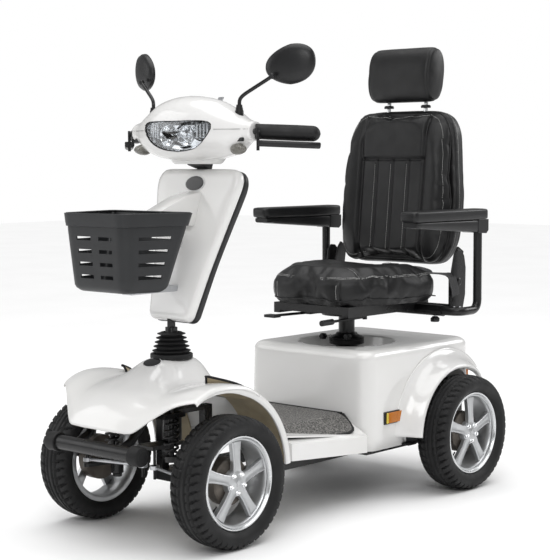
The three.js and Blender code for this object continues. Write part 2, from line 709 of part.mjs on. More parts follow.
// Two brackets reach forward to the basket: an arm behind its rim and a shelf under its floor.
const RIM_ARM = [[-333.5, 880], [-400, 868], [-485.6, 833], [-496.6, 798], [-420, 796], [-361.9, 790]];
const SHELF = { half: 18, front: -580, rear: -412, bottom: 624, top: 640 - 2 * GAP };
const rimArm = loft([-30, 30].map((x) => RIM_ARM.map(([y, z]) => [x, y, z])));
const shelf = block(-SHELF.half, SHELF.half, SHELF.front, SHELF.rear, SHELF.bottom, SHELF.top);
part('tiller_cover_front', coverFront.add(solid(rimArm)).add(solid(shelf)), WHITE_PANEL);

const coverRear = cut(
  solid(lean(tillerSlab(1, 14 + GAP, 38))),
  lean(tillerSlab(WALL, 10, 34)),
  lean(block(-18, 18, 0, 60, -30, 50)),
  lean(block(-18, 18, 0, 26, 340, 420)),
);
part('tiller_cover_rear', coverRear, BLACK_PLASTIC);

const TILT_LEVER_W = 80;
const tiltLever = join(
  lean(rod(9, [-12, 48, TILT_LEVER_W], [12, 48, TILT_LEVER_W])),
  lean(block(-7, 7, 48, 54, TILT_LEVER_W, TILT_LEVER_W + 75)),
);
part('tilt_lever', tiltLever, BLACK_PLASTIC);

// ---------------------------------------------------------------- basket
// Corner points in plan, front then rear, at the rim and at the floor.
const BASKET_RIM = { front: [112, -692], rear: [150, -488], z: 832 };
const BASKET_FLOOR = { front: [100, -674], rear: [122, -548], z: 640 };

function basketRing(level, wall, z) {
  const [frontX, frontY] = level.front;
  const [rearX, rearY] = level.rear;
  const corner = 18;
  const half = [
    [frontX - corner - wall, frontY + wall], [frontX - wall, frontY + corner + wall * 0.5],
    [rearX - wall, rearY - corner - wall], [rearX - corner - wall, rearY - wall],
  ];
  const mirrored = half.map(([x, y]) => [-x, y]).reverse();
  return [...half, ...mirrored].map(([x, y]) => [x, y, z]);
}

const basketOutside = solid(loft([
  basketRing(BASKET_FLOOR, 0, BASKET_FLOOR.z), basketRing(BASKET_RIM, 0, BASKET_RIM.z),
]));
const basketInside = loft([
  basketRing(BASKET_FLOOR, 4, BASKET_FLOOR.z + 4), basketRing(BASKET_RIM, 4, BASKET_RIM.z + 1),
]);
part('basket', cut(basketOutside, basketInside), BLACK_PLASTIC);

// ---------------------------------------------------------------- head
// Sections across the head: [distance out, centre y, centre z, half depth, half height].
const HEAD_SECTIONS = [
  [0, HEAD_Y, HEAD_Z, 77, 85], [80, HEAD_Y, HEAD_Z - 3, 73, 79],
  [147, HEAD_Y + 6, HEAD_Z - 12, 55, 55], [190, HEAD_Y + 5, HEAD_Z - 9, 33, 30],
  [216, HEAD_Y + 6, HEAD_Z - 9, 26, 24],
];

function headLoft(margin) {
  const rightHalf = HEAD_SECTIONS.slice(1).reverse().map(([x, ...rest]) => [-x, ...rest]);
  const rings = [...rightHalf, ...HEAD_SECTIONS].map(([x, y, z, depth, height]) => {
    const out = x - Math.sign(x) * margin;
    const outline = superellipse(depth - margin, height - margin, 2.3, 12);
    return outline.map(([u, v]) => [out, y + u, z + v]);
  });
  return loft(rings);
}

function lensPrism(margin, y0, y1) {
  const outline = superellipse(122 - margin, 40 - margin, 2.6, 16);
  return loft([y0, y1].map((y) => outline.map(([x, z]) => [x, y, HEAD_Z - 20 + z])));
}

// Carries geometry from the flat instrument panel's own frame onto the head.
function onDash(geometry) {
  const out = 66;
  const tip = radians(DASH_ANGLE);
  const centre = [0, HEAD_Y + out * Math.sin(tip), HEAD_Z + out * Math.cos(tip)];
  return geometry.rotateX(-tip).translate(...centre);
}

const MIRROR_BASE = [158, -331, 1071];
const mirrorSockets = [1, -1].map((side) => {
  const [x, y, z] = [side * MIRROR_BASE[0], MIRROR_BASE[1], MIRROR_BASE[2]];
  return rod(11.6, [x, y, z], [x, y, z + 60]);
});
const head = cut(
  cut(solid(headLoft(0)), onDash(block(-300, 300, -300, 300, 0, 200)), ...mirrorSockets),
  faceted(cut(solid(headLoft(4)), onDash(block(-300, 300, -300, 300, -4, 200)),
    ...[1, -1].map((side) => sideBlock(side, 140, 176, -380, -280, 1060, 1140)))),
  lensPrism(0, -460, -360),
  lean(block(-16, 16, -8, 22, 380, COLUMN_TOP + 30)),
  rod(9.6, [0, HEAD_BAR_Y, HEAD_BAR_Z], besideBar(1, 3, 0, 0)),
  rod(9.6, [0, HEAD_BAR_Y, HEAD_BAR_Z], besideBar(-1, 3, 0, 0)),
  ...[1, -1].map((side) => rod(9.6, besideBar(side, -8, 0, 0), besideBar(side, 20, 0, 0))),
);
part('head_cover', head, WHITE_PANEL);

const lens = cut(solid(lensPrism(0.5, -460, -378)).intersect(solid(headLoft(0.2))));
part('headlight_lens', lens, CLEAR_LENS);

const PANEL_TOP = 4;
part('dash_panel', solid(onDash(block(-76, 76, -27, 27, GAP, PANEL_TOP))), BLACK_PLASTIC);
const knobBase = PANEL_TOP + GAP;
const dial = rod(16, [0, -4, knobBase], [0, -4, knobBase + 13], 18);
part('speed_dial', solid(onDash(dial)), BLACK_PLASTIC);
const KEY_X = 52;
const key = join(
  onDash(rod(7, [KEY_X, -4, knobBase], [KEY_X, -4, knobBase + 5])),
  onDash(block(KEY_X - 9, KEY_X + 9, -5.5, -2.5, knobBase + 4, knobBase + 26)),
);
part('ignition_key', key, ZINC_STEEL);

// ---------------------------------------------------------------- grips, levers and mirrors
const MIRROR_BALL = [240, -297, 1172];
const MIRROR_YAW = 24;                 // degrees, each mirror turned outward

function handControls(side) {
  const hand = side > 0 ? 'left' : 'right';
  const grip = sleeve(9.9, 18.5, besideBar(side, 22, 0, 0), besideBar(side, 166, 0, 0));
  part(`grip_${hand}`, solid(grip), SOFT_RUBBER);

  const pivot = besideBar(side, 9, 24, 0);
  const tip = besideBar(side, 158, 24, 0);
  const z0 = HEAD_BAR_Z + LEVER_DROP[0];
  const z1 = HEAD_BAR_Z + LEVER_DROP[1];
  const lever = cut(
    join(
      rod(9.5, [pivot[0], pivot[1], z0], [pivot[0], pivot[1], z1], 14),
      link([pivot[0], pivot[1]], [tip[0], tip[1]], 12, z0, z1),
    ),
    rod(4.6, [pivot[0], pivot[1], z0 - 5], [pivot[0], pivot[1], z1 + 5], 10),
  );
  part(`throttle_lever_${hand}`, lever, BLACK_PLASTIC);
}

function mirror(side) {
  const hand = side > 0 ? 'left' : 'right';
  const base = [side * MIRROR_BASE[0], MIRROR_BASE[1], MIRROR_BASE[2] + GAP];
  const ball = [side * MIRROR_BALL[0], MIRROR_BALL[1], MIRROR_BALL[2]];
  const boot = turned([[0, 0], [11, 0], [11, 16], [8, 30], [0, 30]], 14).translate(...base);
  const route = [
    [base[0], base[1], base[2] + 26], [base[0], base[1], 1110],
    [side * 168, -326, 1121], [side * 190, -317, 1136], ball,
  ];
  const corners = route.map((p) => new THREE.Vector3(...p));
  const path = new THREE.CatmullRomCurve3(corners, false, 'catmullrom', 0.2);
  const section = new THREE.Shape();
  section.absarc(0, 0, 5, 0, 2 * Math.PI, false);
  const sweep = { extrudePath: path, steps: 7, curveSegments: 3 };
  const stalk = new THREE.ExtrudeGeometry(section, sweep);
  const knob = new THREE.SphereGeometry(8, 8, 6).translate(...ball);
  part(`mirror_arm_${hand}`, join(boot, stalk, knob), BLACK_PLASTIC);

  const depths = [[8.5, 54, 42], [22, 65, 53], [32, 63, 51]];
  const rings = depths.map(([depth, halfWidth, halfHeight]) =>
    superellipse(halfWidth, halfHeight, 2.3, 18).map(([u, v]) => [u + 40, depth, v + 30]));
  const dish = loft(rings);
  if (side < 0) dish.scale(-1, 1, 1);
  dish.rotateZ(side * radians(MIRROR_YAW)).translate(...ball);
  part(`mirror_head_${hand}`, solid(dish), BLACK_PLASTIC);
}

for (const side of [1, -1]) {
  handControls(side);
  mirror(side);
}

// ---------------------------------------------------------------- seat support
const POST_RADIUS = 24;
const socket = turned([
  [0, RAIL_TOP + GAP], [38, RAIL_TOP + GAP], [38, 152], [32, 152], [32, 412], [52, 420],
  [52, 432], [POST_RADIUS + 0.8, 432], [POST_RADIUS + 0.8, 200], [0, 200],
], 16);
part('seat_socket', solid(socket.translate(0, SEAT_Y, 0)), BLACK_STEEL);

const post = turned([[0, 235], [POST_RADIUS, 235], [POST_RADIUS, SEAT_PLATE_Z], [0, SEAT_PLATE_Z]], 16);
part('seat_post', solid(post.translate(0, SEAT_Y, 0)), BLACK_STEEL);

const RAIL_TOP_Z = SEAT_PLATE_Z + 10;
const swivel = join(
  rod(74, [0, SEAT_Y, SEAT_PLATE_Z + GAP], [0, SEAT_Y, SEAT_PLATE_Z + 6], 20),
  block(60, 80, 200, 362, SEAT_PLATE_Z + 3, RAIL_TOP_Z),
  block(-80, -60, 200, 362, SEAT_PLATE_Z + 3, RAIL_TOP_Z),
);
part('swivel_plate', swivel, BLACK_STEEL);

const SWIVEL_LEVER = [-89.6, 270, 509];
const swivelLever = join(
  rod(9, [SWIVEL_LEVER[0], SWIVEL_LEVER[1], 504], [SWIVEL_LEVER[0], SWIVEL_LEVER[1], 513]),
  rod(4, SWIVEL_LEVER, [-118, 110, 508]),
  block(-138, -98, 84, 112, 504, 512),
);
part('swivel_lever', swivelLever, BLACK_PLASTIC);

const SLIDE_LEVER = [104, 250, 508];
const slideLever = join(
  rod(7, [SLIDE_LEVER[0], SLIDE_LEVER[1], 501], [SLIDE_LEVER[0], SLIDE_LEVER[1], 514]),
  rod(4, SLIDE_LEVER, [104, 100, 506]),
  rod(8.5, [104, 104, 506], [104, 56, 505]),
);
part('slide_lever', slideLever, BLACK_PLASTIC);

// ---------------------------------------------------------------- seat frame and cushions
const RECEIVER = [455, 518];           // armrest receiver tube, y and z
const RECEIVER_RADIUS = 16;
const RECEIVER_HALF = 236;
const FRAME_BOTTOM = RAIL_TOP_Z + GAP;
const FRAME_TOP = CUSHION_BOTTOM - GAP;

const seatFrame = cut(
  join(
    block(118, 140, 130, 510, FRAME_BOTTOM, FRAME_TOP),
    block(-140, -118, 130, 510, FRAME_BOTTOM, FRAME_TOP),
    block(-130, 130, 200, 230, FRAME_BOTTOM, FRAME_BOTTOM + 8),
    block(-130, 130, 330, 360, FRAME_BOTTOM, FRAME_BOTTOM + 8),
    block(-130, 130, 130, 150, FRAME_BOTTOM + 8, FRAME_TOP),
    rod(RECEIVER_RADIUS, [-RECEIVER_HALF, ...RECEIVER], [RECEIVER_HALF, ...RECEIVER], 16),
    rod(10, [-240, 500, 524], [240, 500, 524]),
    ...[1, -1].flatMap((side) => [
      sideBlock(side, 238, 243, 475, 540, 512, 618),
      rod(6, [side * 240, RECLINE[1], RECLINE[2]], [side * 229, RECLINE[1], RECLINE[2]]),
    ]),
  ),
  rod(TUBE_RADIUS + 0.6, [-250, ...RECEIVER], [250, ...RECEIVER], 16),
);
part('seat_frame', seatFrame, BLACK_STEEL);

// The cushion in plan, [x, y], narrowing to the front corners and clearing the recliners.
const CUSHION_HALF = [
  [90, 84], [132, 94], [168, 124], [200, 190], [238, 290], [242, 380], [232, 440],
  [226, 470], [190, 482],
];
function cushionRing(scale, z) {
  const mirrored = CUSHION_HALF.map(([x, y]) => [-x, y]).reverse();
  return [...CUSHION_HALF, ...mirrored].map(([x, y]) => [x * scale, 284 + (y - 284) * scale, z]);
}
const cushion = loft([
  cushionRing(0.93, CUSHION_BOTTOM), cushionRing(1, CUSHION_BOTTOM + 20),
  cushionRing(1, CUSHION_TOP - 22), cushionRing(0.92, CUSHION_TOP),
]);
part('seat_cushion', solid(cushion), LEATHERETTE);

// The backrest seen from the front, [x, up from the recliner pivot].
const BACK_BOTTOM = 58;
const BACK_TOP = 516;
const BACK_HALF = [
  [170, BACK_BOTTOM], [208, 72], [222, 130], [220, 230], [210, 330], [196, 430],
  [176, 490], [140, BACK_TOP],
];
function backSlab(margin, y0, y1) {
  const half = BACK_HALF.map(([x, z]) => [x - margin, z - Math.sign(z - 250) * margin]);
  const mirrored = half.map(([x, z]) => [-x, z]).reverse();
  const outline = [...half, ...mirrored];
  return loft([y0, y1].map((y) => outline.map(([x, z]) => [x, y, z])));
}

const HEADREST_POST_X = 70;
const HEADREST_POST_Y = 15;
const brackets = [1, -1].flatMap((side) => [
  reclined(sideBlock(side, 221, 228, -14, 30, -14, 90)),
  reclined(sideBlock(side, 190, 226, 6, 30, 66, 90)),
]);
const backShell = cut(
  join(reclined(backSlab(0, 2, 56)), ...brackets),
  rod(6.8, [-235, RECLINE[1], RECLINE[2]], [235, RECLINE[1], RECLINE[2]]),
  ...[1, -1].map((side) => reclined(rod(6.8,
    [side * HEADREST_POST_X, HEADREST_POST_Y, 380], [side * HEADREST_POST_X, HEADREST_POST_Y, 530]))),
);
part('backrest_shell', backShell, LEATHERETTE);
part('backrest_cushion', solid(reclined(backSlab(6, -22, 2 - GAP))), LEATHERETTE);

const headrestPad = superellipse(50, 90, 2.6, 20);
const headrest = join(
  reclined(loft([-122, 122].map((x) => headrestPad.map(([u, v]) => [x, u - 4, v + 618])))),
  ...[1, -1].map((side) => reclined(rod(6,
    [side * HEADREST_POST_X, HEADREST_POST_Y, 395], [side * HEADREST_POST_X, HEADREST_POST_Y, 560]))),
);
part('headrest', headrest, LEATHERETTE);

// ---------------------------------------------------------------- armrests
function armrest(side) {
  const hand = side > 0 ? 'left' : 'right';
  const x = side * ARM_X;
  const [tubeY, tubeZ] = RECEIVER;
  const corner = 32;
  const route = new THREE.CurvePath();
  const legs = [
    [[side * 160, tubeY, tubeZ], [x - side * corner, tubeY, tubeZ]],
    [[x, tubeY + corner, tubeZ], [x, ARM_Y - corner, tubeZ]],
    [[x, ARM_Y, tubeZ + corner], [x, ARM_Y, ARM_PIVOT_Z + 10]],
  ].map((leg) => leg.map((p) => new THREE.Vector3(...p)));
  const bends = [[x, tubeY, tubeZ], [x, ARM_Y, tubeZ]].map((p) => new THREE.Vector3(...p));
  legs.forEach(([from, to], i) => {
    route.add(new THREE.LineCurve3(from, to));
    if (i < bends.length) route.add(new THREE.QuadraticBezierCurve3(to, bends[i], legs[i + 1][0]));
  });
  const section = new THREE.Shape();
  section.absarc(0, 0, TUBE_RADIUS, 0, 2 * Math.PI, false);
  const tube = new THREE.ExtrudeGeometry(section, { extrudePath: route, steps: 18, curveSegments: 4 });
  const pinHole = rod(5.8, [x - 25, ARM_Y, ARM_PIVOT_Z], [x + 25, ARM_Y, ARM_PIVOT_Z]);
  part(`arm_tube_${hand}`, cut(solid(tube), pinHole), BLACK_STEEL);

  const [near, far] = [250, 310];
  const outline = [
    [216, 786], [226, 772], [330, 756], [570, 753], [577, 770], [577, 806], [560, 816],
    [232, 816], [216, 808],
  ];
  const pad = cut(
    solid(loft([near, far].map((out) => outline.map(([y, z]) => [side * out, y, z])))),
    sideBlock(side, 275, 305, 526, 600, 700, 791),
  );
  const pin = rod(5, [side * 272, ARM_Y, ARM_PIVOT_Z], [side * 308, ARM_Y, ARM_PIVOT_Z]);
  part(`arm_pad_${hand}`, pad.add(solid(pin)), BLACK_PLASTIC);
}

armrest(1);
armrest(-1);

export default scooter;
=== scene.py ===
import math

import bmesh
import bpy
from mathutils import Matrix, Vector
from mathutils.bvhtree import BVHTree


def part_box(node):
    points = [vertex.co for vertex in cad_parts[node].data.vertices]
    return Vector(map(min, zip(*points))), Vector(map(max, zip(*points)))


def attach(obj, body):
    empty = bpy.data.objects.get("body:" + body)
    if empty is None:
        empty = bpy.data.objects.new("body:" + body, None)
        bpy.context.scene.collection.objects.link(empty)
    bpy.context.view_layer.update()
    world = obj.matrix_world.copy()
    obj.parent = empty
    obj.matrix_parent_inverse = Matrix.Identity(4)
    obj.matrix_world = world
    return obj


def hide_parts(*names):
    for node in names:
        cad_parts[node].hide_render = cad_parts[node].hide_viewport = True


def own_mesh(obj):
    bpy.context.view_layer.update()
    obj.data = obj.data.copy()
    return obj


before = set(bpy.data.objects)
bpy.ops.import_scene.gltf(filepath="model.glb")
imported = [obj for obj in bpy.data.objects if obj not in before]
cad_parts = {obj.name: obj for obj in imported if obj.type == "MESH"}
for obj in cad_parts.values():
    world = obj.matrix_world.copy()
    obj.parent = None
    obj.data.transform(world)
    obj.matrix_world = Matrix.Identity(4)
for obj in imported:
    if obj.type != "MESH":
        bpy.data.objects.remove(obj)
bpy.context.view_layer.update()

# Shapes below are written in millimetres and scaled to metres when a mesh is made.
MM = 0.001
SIDES = {"left": 1, "right": -1}


def low_high(name):
    """The lowest and highest corners of a CAD node, in millimetres."""
    low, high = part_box(name)
    return low / MM, high / MM


def centre(name):
    low, high = low_high(name)
    return (low + high) / 2


# ---------------------------------------------------------------- camera and studio
CAMERA_PLACE = (2.7655, -3.1047, 0.9692)
CAMERA_TURN = (85.27, -0.20, 41.89)      # degrees: pitch from straight down, roll, heading
LENS = 95.75
SENSOR = 36
WORLD_LIGHT = 0.32
BACKDROP = 1.0
OVERHEAD = 2.3                           # strength of the light from straight above
OVERHEAD_SPREAD = 70                     # degrees across its soft disc


def make_camera():
    data = bpy.data.cameras.new("camera")
    data.lens = LENS
    data.sensor_width = SENSOR
    data.sensor_height = SENSOR
    data.sensor_fit = "VERTICAL"
    camera = bpy.data.objects.new("camera", data)
    bpy.context.collection.objects.link(camera)
    pitch, roll, heading = (math.radians(a) for a in CAMERA_TURN)
    turn = Matrix.Rotation(heading, 4, "Z") @ Matrix.Rotation(pitch, 4, "X")
    turn = turn @ Matrix.Rotation(roll, 4, "Z")
    camera.matrix_world = Matrix.Translation(CAMERA_PLACE) @ turn
    bpy.context.scene.camera = camera


def area_light(name, place, target, size, power):
    data = bpy.data.lights.new(name, "AREA")
    data.shape = "RECTANGLE"
    data.size, data.size_y = size
    data.energy = power
    light = bpy.data.objects.new(name, data)
    bpy.context.collection.objects.link(light)
    light.location = place
    light.rotation_euler = (Vector(target) - Vector(place)).to_track_quat("-Z", "Y").to_euler()


def make_studio():
    area_light("key", (2.6, -3.0, 3.0), (0, 0, 0.6), (2.2, 1.8), 55)
    area_light("fill", (-3.2, -2.6, 2.2), (0, 0, 0.6), (2.4, 2.4), 28)
    area_light("rim", (1.8, 3.4, 2.4), (0, 0, 0.8), (2.4, 1.2), 40)
    overhead_light(OVERHEAD, OVERHEAD_SPREAD)
    make_world()


def overhead_light(strength, spread):
    """A soft light straight down, which keeps the whole floor evenly white."""
    data = bpy.data.lights.new("overhead", "SUN")
    data.energy = strength
    data.angle = math.radians(spread)
    light = bpy.data.objects.new("overhead", data)
    bpy.context.collection.objects.link(light)


def make_world():
    """A white backdrop as far as the eye goes, which lights the object only softly."""
    world = bpy.data.worlds.new("studio")
    world.use_nodes = True
    nodes, links = world.node_tree.nodes, world.node_tree.links
    background = nodes["Background"]
    background.inputs["Color"].default_value = (1, 1, 1, 1)
    seen = nodes.new("ShaderNodeLightPath")
    strength = nodes.new("ShaderNodeMapRange")
    strength.inputs["To Min"].default_value = WORLD_LIGHT
    strength.inputs["To Max"].default_value = BACKDROP
    links.new(seen.outputs["Is Camera Ray"], strength.inputs["Value"])
    links.new(strength.outputs["Result"], background.inputs["Strength"])
    bpy.context.scene.world = world
    bpy.context.scene.view_settings.view_transform = "Standard"


# ---------------------------------------------------------------- materials
def new_shader(name, color, roughness, metallic=0.0, **sockets):
    material = bpy.data.materials.new(name)
    material.use_nodes = True
    shader = material.node_tree.nodes["Principled BSDF"]
    shader.inputs["Base Color"].default_value = (*color, 1)
    shader.inputs["Roughness"].default_value = roughness
    shader.inputs["Metallic"].default_value = metallic
    for socket, value in sockets.items():
        shader.inputs[socket.replace("_", " ")].default_value = value
    return material, shader


def object_noise(material, scale, detail=3.0, kind="ShaderNodeTexNoise"):
    nodes, links = material.node_tree.nodes, material.node_tree.links
    place = nodes.new("ShaderNodeTexCoord")
    texture = nodes.new(kind)
    texture.inputs["Scale"].default_value = scale
    if "Detail" in texture.inputs:
        texture.inputs["Detail"].default_value = detail
    links.new(place.outputs["Object"], texture.inputs["Vector"])
    return texture


def tint(material, shader, dark, light, scale, detail=3.0, low=0.35, high=0.65):
    """Varies the base colour between two colours over the surface."""
    nodes, links = material.node_tree.nodes, material.node_tree.links
    texture = object_noise(material, scale, detail)
    ramp = nodes.new("ShaderNodeValToRGB")
    ramp.color_ramp.elements[0].position = low
    ramp.color_ramp.elements[1].position = high
    ramp.color_ramp.elements[0].color = (*dark, 1)
    ramp.color_ramp.elements[1].color = (*light, 1)
    links.new(texture.outputs[0], ramp.inputs["Fac"])
    links.new(ramp.outputs["Color"], shader.inputs["Base Color"])


def rough(material, shader, least, most, scale):
    """Varies the roughness, as handling and dust do."""
    nodes, links = material.node_tree.nodes, material.node_tree.links
    texture = object_noise(material, scale)
    spread = nodes.new("ShaderNodeMapRange")
    spread.inputs["From Min"].default_value = 0.3
    spread.inputs["From Max"].default_value = 0.7
    spread.inputs["To Min"].default_value = least
    spread.inputs["To Max"].default_value = most
    links.new(texture.outputs[0], spread.inputs["Value"])
    links.new(spread.outputs["Result"], shader.inputs["Roughness"])


def grain(material, shader, scale, strength, depth, kind="ShaderNodeTexNoise"):
    nodes, links = material.node_tree.nodes, material.node_tree.links
    texture = object_noise(material, scale, kind=kind)
    bump = nodes.new("ShaderNodeBump")
    bump.inputs["Strength"].default_value = strength
    bump.inputs["Distance"].default_value = depth
    links.new(texture.outputs[0], bump.inputs["Height"])
    links.new(bump.outputs["Normal"], shader.inputs["Normal"])


def moulded(name, color, roughness, spread=0.06, scale=900, strength=0.15, vary=0.12, **sockets):
    """A moulded plastic or coated surface: fine texture, uneven gloss and a slight tint."""
    material, shader = new_shader(name, color, roughness, **sockets)
    dark = tuple(c * (1 - vary) for c in color)
    light = tuple(min(c * (1 + vary), 1) for c in color)
    tint(material, shader, dark, light, 14)
    rough(material, shader, roughness - spread, roughness + spread, 22)
    grain(material, shader, scale, strength, 0.0004)
    return material


def white_gloss():
    material, shader = new_shader("white_gloss", (0.77, 0.765, 0.755), 0.16, Coat_Weight=0.5,
                                  Coat_Roughness=0.04)
    tint(material, shader, (0.75, 0.745, 0.73), (0.79, 0.785, 0.778), 3)
    rough(material, shader, 0.13, 0.2, 9)
    grain(material, shader, 60, 0.03, 0.0006)
    return material


def leather():
    material, shader = new_shader(
        "black_leatherette", (0.007, 0.007, 0.0075), 0.42, Specular_IOR_Level=0.38)
    tint(material, shader, (0.005, 0.005, 0.0055), (0.011, 0.011, 0.0115), 9)
    rough(material, shader, 0.34, 0.48, 30)
    grain(material, shader, 620, 0.32, 0.0006, "ShaderNodeTexVoronoi")
    return material


def carpet():
    material, shader = new_shader("grey_carpet", (0.2, 0.19, 0.17), 0.95, Sheen_Weight=0.1,
                                  Sheen_Roughness=0.6)
    tint(material, shader, (0.018, 0.018, 0.017), (0.27, 0.26, 0.245), 230, 6, 0.38, 0.70)
    grain(material, shader, 420, 0.9, 0.002)
    return material


def webbing():
    material, shader = new_shader("black_webbing", (0.015, 0.015, 0.016), 0.75, Sheen_Weight=0.2,
                                  Sheen_Roughness=0.5)
    tint(material, shader, (0.008, 0.008, 0.009), (0.03, 0.03, 0.032), 500)
    grain(material, shader, 700, 0.6, 0.0008, "ShaderNodeTexVoronoi")
    return material


def cast(name, color, roughness, scale=180, strength=0.05, vary=0.05, metallic=1.0, **sockets):
    material, shader = new_shader(name, color, roughness, metallic, **sockets)
    dark = tuple(c * (1 - vary) for c in color)
    tint(material, shader, dark, color, 25)
    rough(material, shader, roughness * 0.8, roughness * 1.3, 40)
    grain(material, shader, scale, strength, 0.0003)
    return material


def lens(name, color, roughness=0.04, transmission=0.85, ripple=0.08):
    material, shader = new_shader(name, color, roughness, Transmission_Weight=transmission, IOR=1.49)
    dark = tuple(c * 0.86 for c in color)
    tint(material, shader, dark, color, 40)
    grain(material, shader, 260, ripple, 0.0004)
    return material


def floor_paper():
    material, shader = new_shader("floor_paper", (0.94, 0.94, 0.94), 0.7)
    tint(material, shader, (0.93, 0.93, 0.93), (0.95, 0.95, 0.95), 2)
    return material


WHITE = white_gloss()
LEATHER = leather()
CARPET = carpet()
WEBBING = webbing()
BEIGE = moulded("beige_backing", (0.36, 0.30, 0.2), 0.55, scale=300, strength=0.3, vary=0.2)
BLACK = moulded("black_plastic", (0.010, 0.0102, 0.011), 0.38, 0.05, 1100, 0.22, Specular_IOR_Level=0.38)
BASKET_GREY = moulded("basket_plastic", (0.015, 0.016, 0.0175), 0.4, 0.05, 900, 0.2, Specular_IOR_Level=0.4)
BATTERY_GREY = moulded("battery_case", (0.03, 0.032, 0.035), 0.5, 0.06, 700, 0.2)
GLOSS_BLACK = moulded("gloss_black", (0.009, 0.009, 0.01), 0.12, 0.03, 200, 0.02)
STEEL = moulded("powder_coat", (0.008, 0.008, 0.0085), 0.3, 0.05, 1500, 0.16, Specular_IOR_Level=0.4)
RUBBER = moulded("soft_rubber", (0.007, 0.007, 0.0075), 0.55, 0.08, 700, 0.25, Specular_IOR_Level=0.35)
TYRE = moulded("tyre_rubber", (0.009, 0.009, 0.0095), 0.62, 0.1, 500, 0.3, 0.25, Specular_IOR_Level=0.35)
ALLOY = cast("wheel_alloy", (0.52, 0.53, 0.54), 0.36, metallic=0.85, Coat_Weight=0.15)
ALLOY_POLISHED = cast("polished_alloy", (0.66, 0.67, 0.68), 0.24)
ZINC = cast("zinc_plate", (0.56, 0.57, 0.59), 0.32, 300, 0.1, 0.12)
CHROME = cast("chrome", (0.88, 0.89, 0.9), 0.07, 80, 0.01, 0.03)
DRUM = cast("brake_drum", (0.17, 0.15, 0.13), 0.5, 140, 0.25, 0.35, 0.6)
MIRROR = cast("mirror_glass", (0.85, 0.88, 0.9), 0.02, 20, 0.002, 0.02)
CLEAR = lens("clear_lens", (0.96, 0.98, 1.0), 0.01, 1.0, 0.01)
AMBER = lens("amber_lens", (0.80, 0.27, 0.03), 0.15, 0.35)
YELLOW = lens("yellow_lens", (0.95, 0.75, 0.12), 0.15, 0.3)
RED = lens("red_lens", (0.7, 0.02, 0.015), 0.12, 0.35)
SMOKED = lens("smoked_lens", (0.3, 0.29, 0.26), 0.08, 0.6, 0.3)
THREAD = moulded("pale_thread", (0.5, 0.5, 0.49), 0.7, 0.05, 1200, 0.4)
SILVER_PRINT = moulded("silver_print", (0.6, 0.6, 0.6), 0.3, 0.05, 400, 0.05)


# ---------------------------------------------------------------- mesh helpers
def finish_mesh(mesh, angle):
    mesh.shade_smooth()
    mesh.set_sharp_from_angle(angle=math.radians(angle))


def piece(name, verts, faces, material, body, angle=38, bevel=0.0, subdivide=0, thickness=0.0,
          offset=-1.0, scale=MM):
    """A closed or shelled mesh from points in millimetres, riding on a CAD body."""
    mesh = bpy.data.meshes.new(name)
    mesh.from_pydata([Vector(v) * scale for v in verts], [], faces)
    mesh.validate()
    work = bmesh.new()
    work.from_mesh(mesh)
    bmesh.ops.remove_doubles(work, verts=work.verts, dist=1e-6)
    bmesh.ops.recalc_face_normals(work, faces=work.faces)
    work.to_mesh(mesh)
    work.free()
    finish_mesh(mesh, angle)
    made = bpy.data.objects.new(name, mesh)
    bpy.context.collection.objects.link(made)
    made.data.materials.append(material)
    if thickness:
        shell = made.modifiers.new("thickness", "SOLIDIFY")
        shell.thickness = thickness * MM
        shell.offset = offset
    if bevel:
        edge = made.modifiers.new("edges", "BEVEL")
        edge.width = bevel * MM
        edge.segments = 2
        edge.limit_method = "ANGLE"
        edge.angle_limit = math.radians(angle)
        edge.harden_normals = True
    if subdivide:
        smooth = made.modifiers.new("smooth", "SUBSURF")
        smooth.levels = subdivide
        smooth.render_levels = subdivide
    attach(made, body)
    return made


def skin(rings, closed=True, cap=True, loop=False):
    """Faces joining rings of equal length: closed rings make a tube, open ones a sheet."""
    count = len(rings[0])
    verts = [p for ring in rings for p in ring]
    faces = []
    rows = len(rings) if loop else len(rings) - 1
    columns = count if closed else count - 1
    for r in range(rows):
        for i in range(columns):
            a = r * count + i
            b = r * count + (i + 1) % count
            up = ((r + 1) % len(rings)) * count - r * count
            faces.append((a, b, b + up, a + up))
    if cap and closed and not loop:
        faces.append(tuple(range(count))[::-1])
        faces.append(tuple(range((len(rings) - 1) * count, len(rings) * count)))
    return verts, faces


def spline(points, samples):
    """A smooth curve through the given points, with a number of samples on each stretch."""
    pts = [Vector(p) for p in points]
    ends = [pts[0] * 2 - pts[1]] + pts + [pts[-1] * 2 - pts[-2]]
    out = []
    for i in range(1, len(ends) - 2):
        p0, p1, p2, p3 = ends[i - 1:i + 3]
        for s in range(samples):
            t = s / samples
            out.append(0.5 * ((2 * p1) + (p2 - p0) * t + (2 * p0 - 5 * p1 + 4 * p2 - p3) * t * t
                              + (3 * p1 - p0 - 3 * p2 + p3) * t ** 3))
    out.append(pts[-1])
    return out


def tube(name, points, radius, material, body, sides=14, samples=6, cap=True):
    """A smooth round tube through points."""
    path = spline(points, samples) if samples > 1 else [Vector(p) for p in points]
    tangents = [(path[min(i + 1, len(path) - 1)] - path[max(i - 1, 0)]).normalized()
                for i in range(len(path))]
    side = tangents[0].orthogonal().normalized()
    rings = []
    for i, (p, t) in enumerate(zip(path, tangents)):
        if i:
            side = (side - t * side.dot(t)).normalized()
        across = t.cross(side)
        rings.append([p + side * radius * math.cos(a) + across * radius * math.sin(a)
                      for a in (2 * math.pi * k / sides for k in range(sides))])
    return piece(name, *skin(rings, cap=cap), material, body, angle=50)


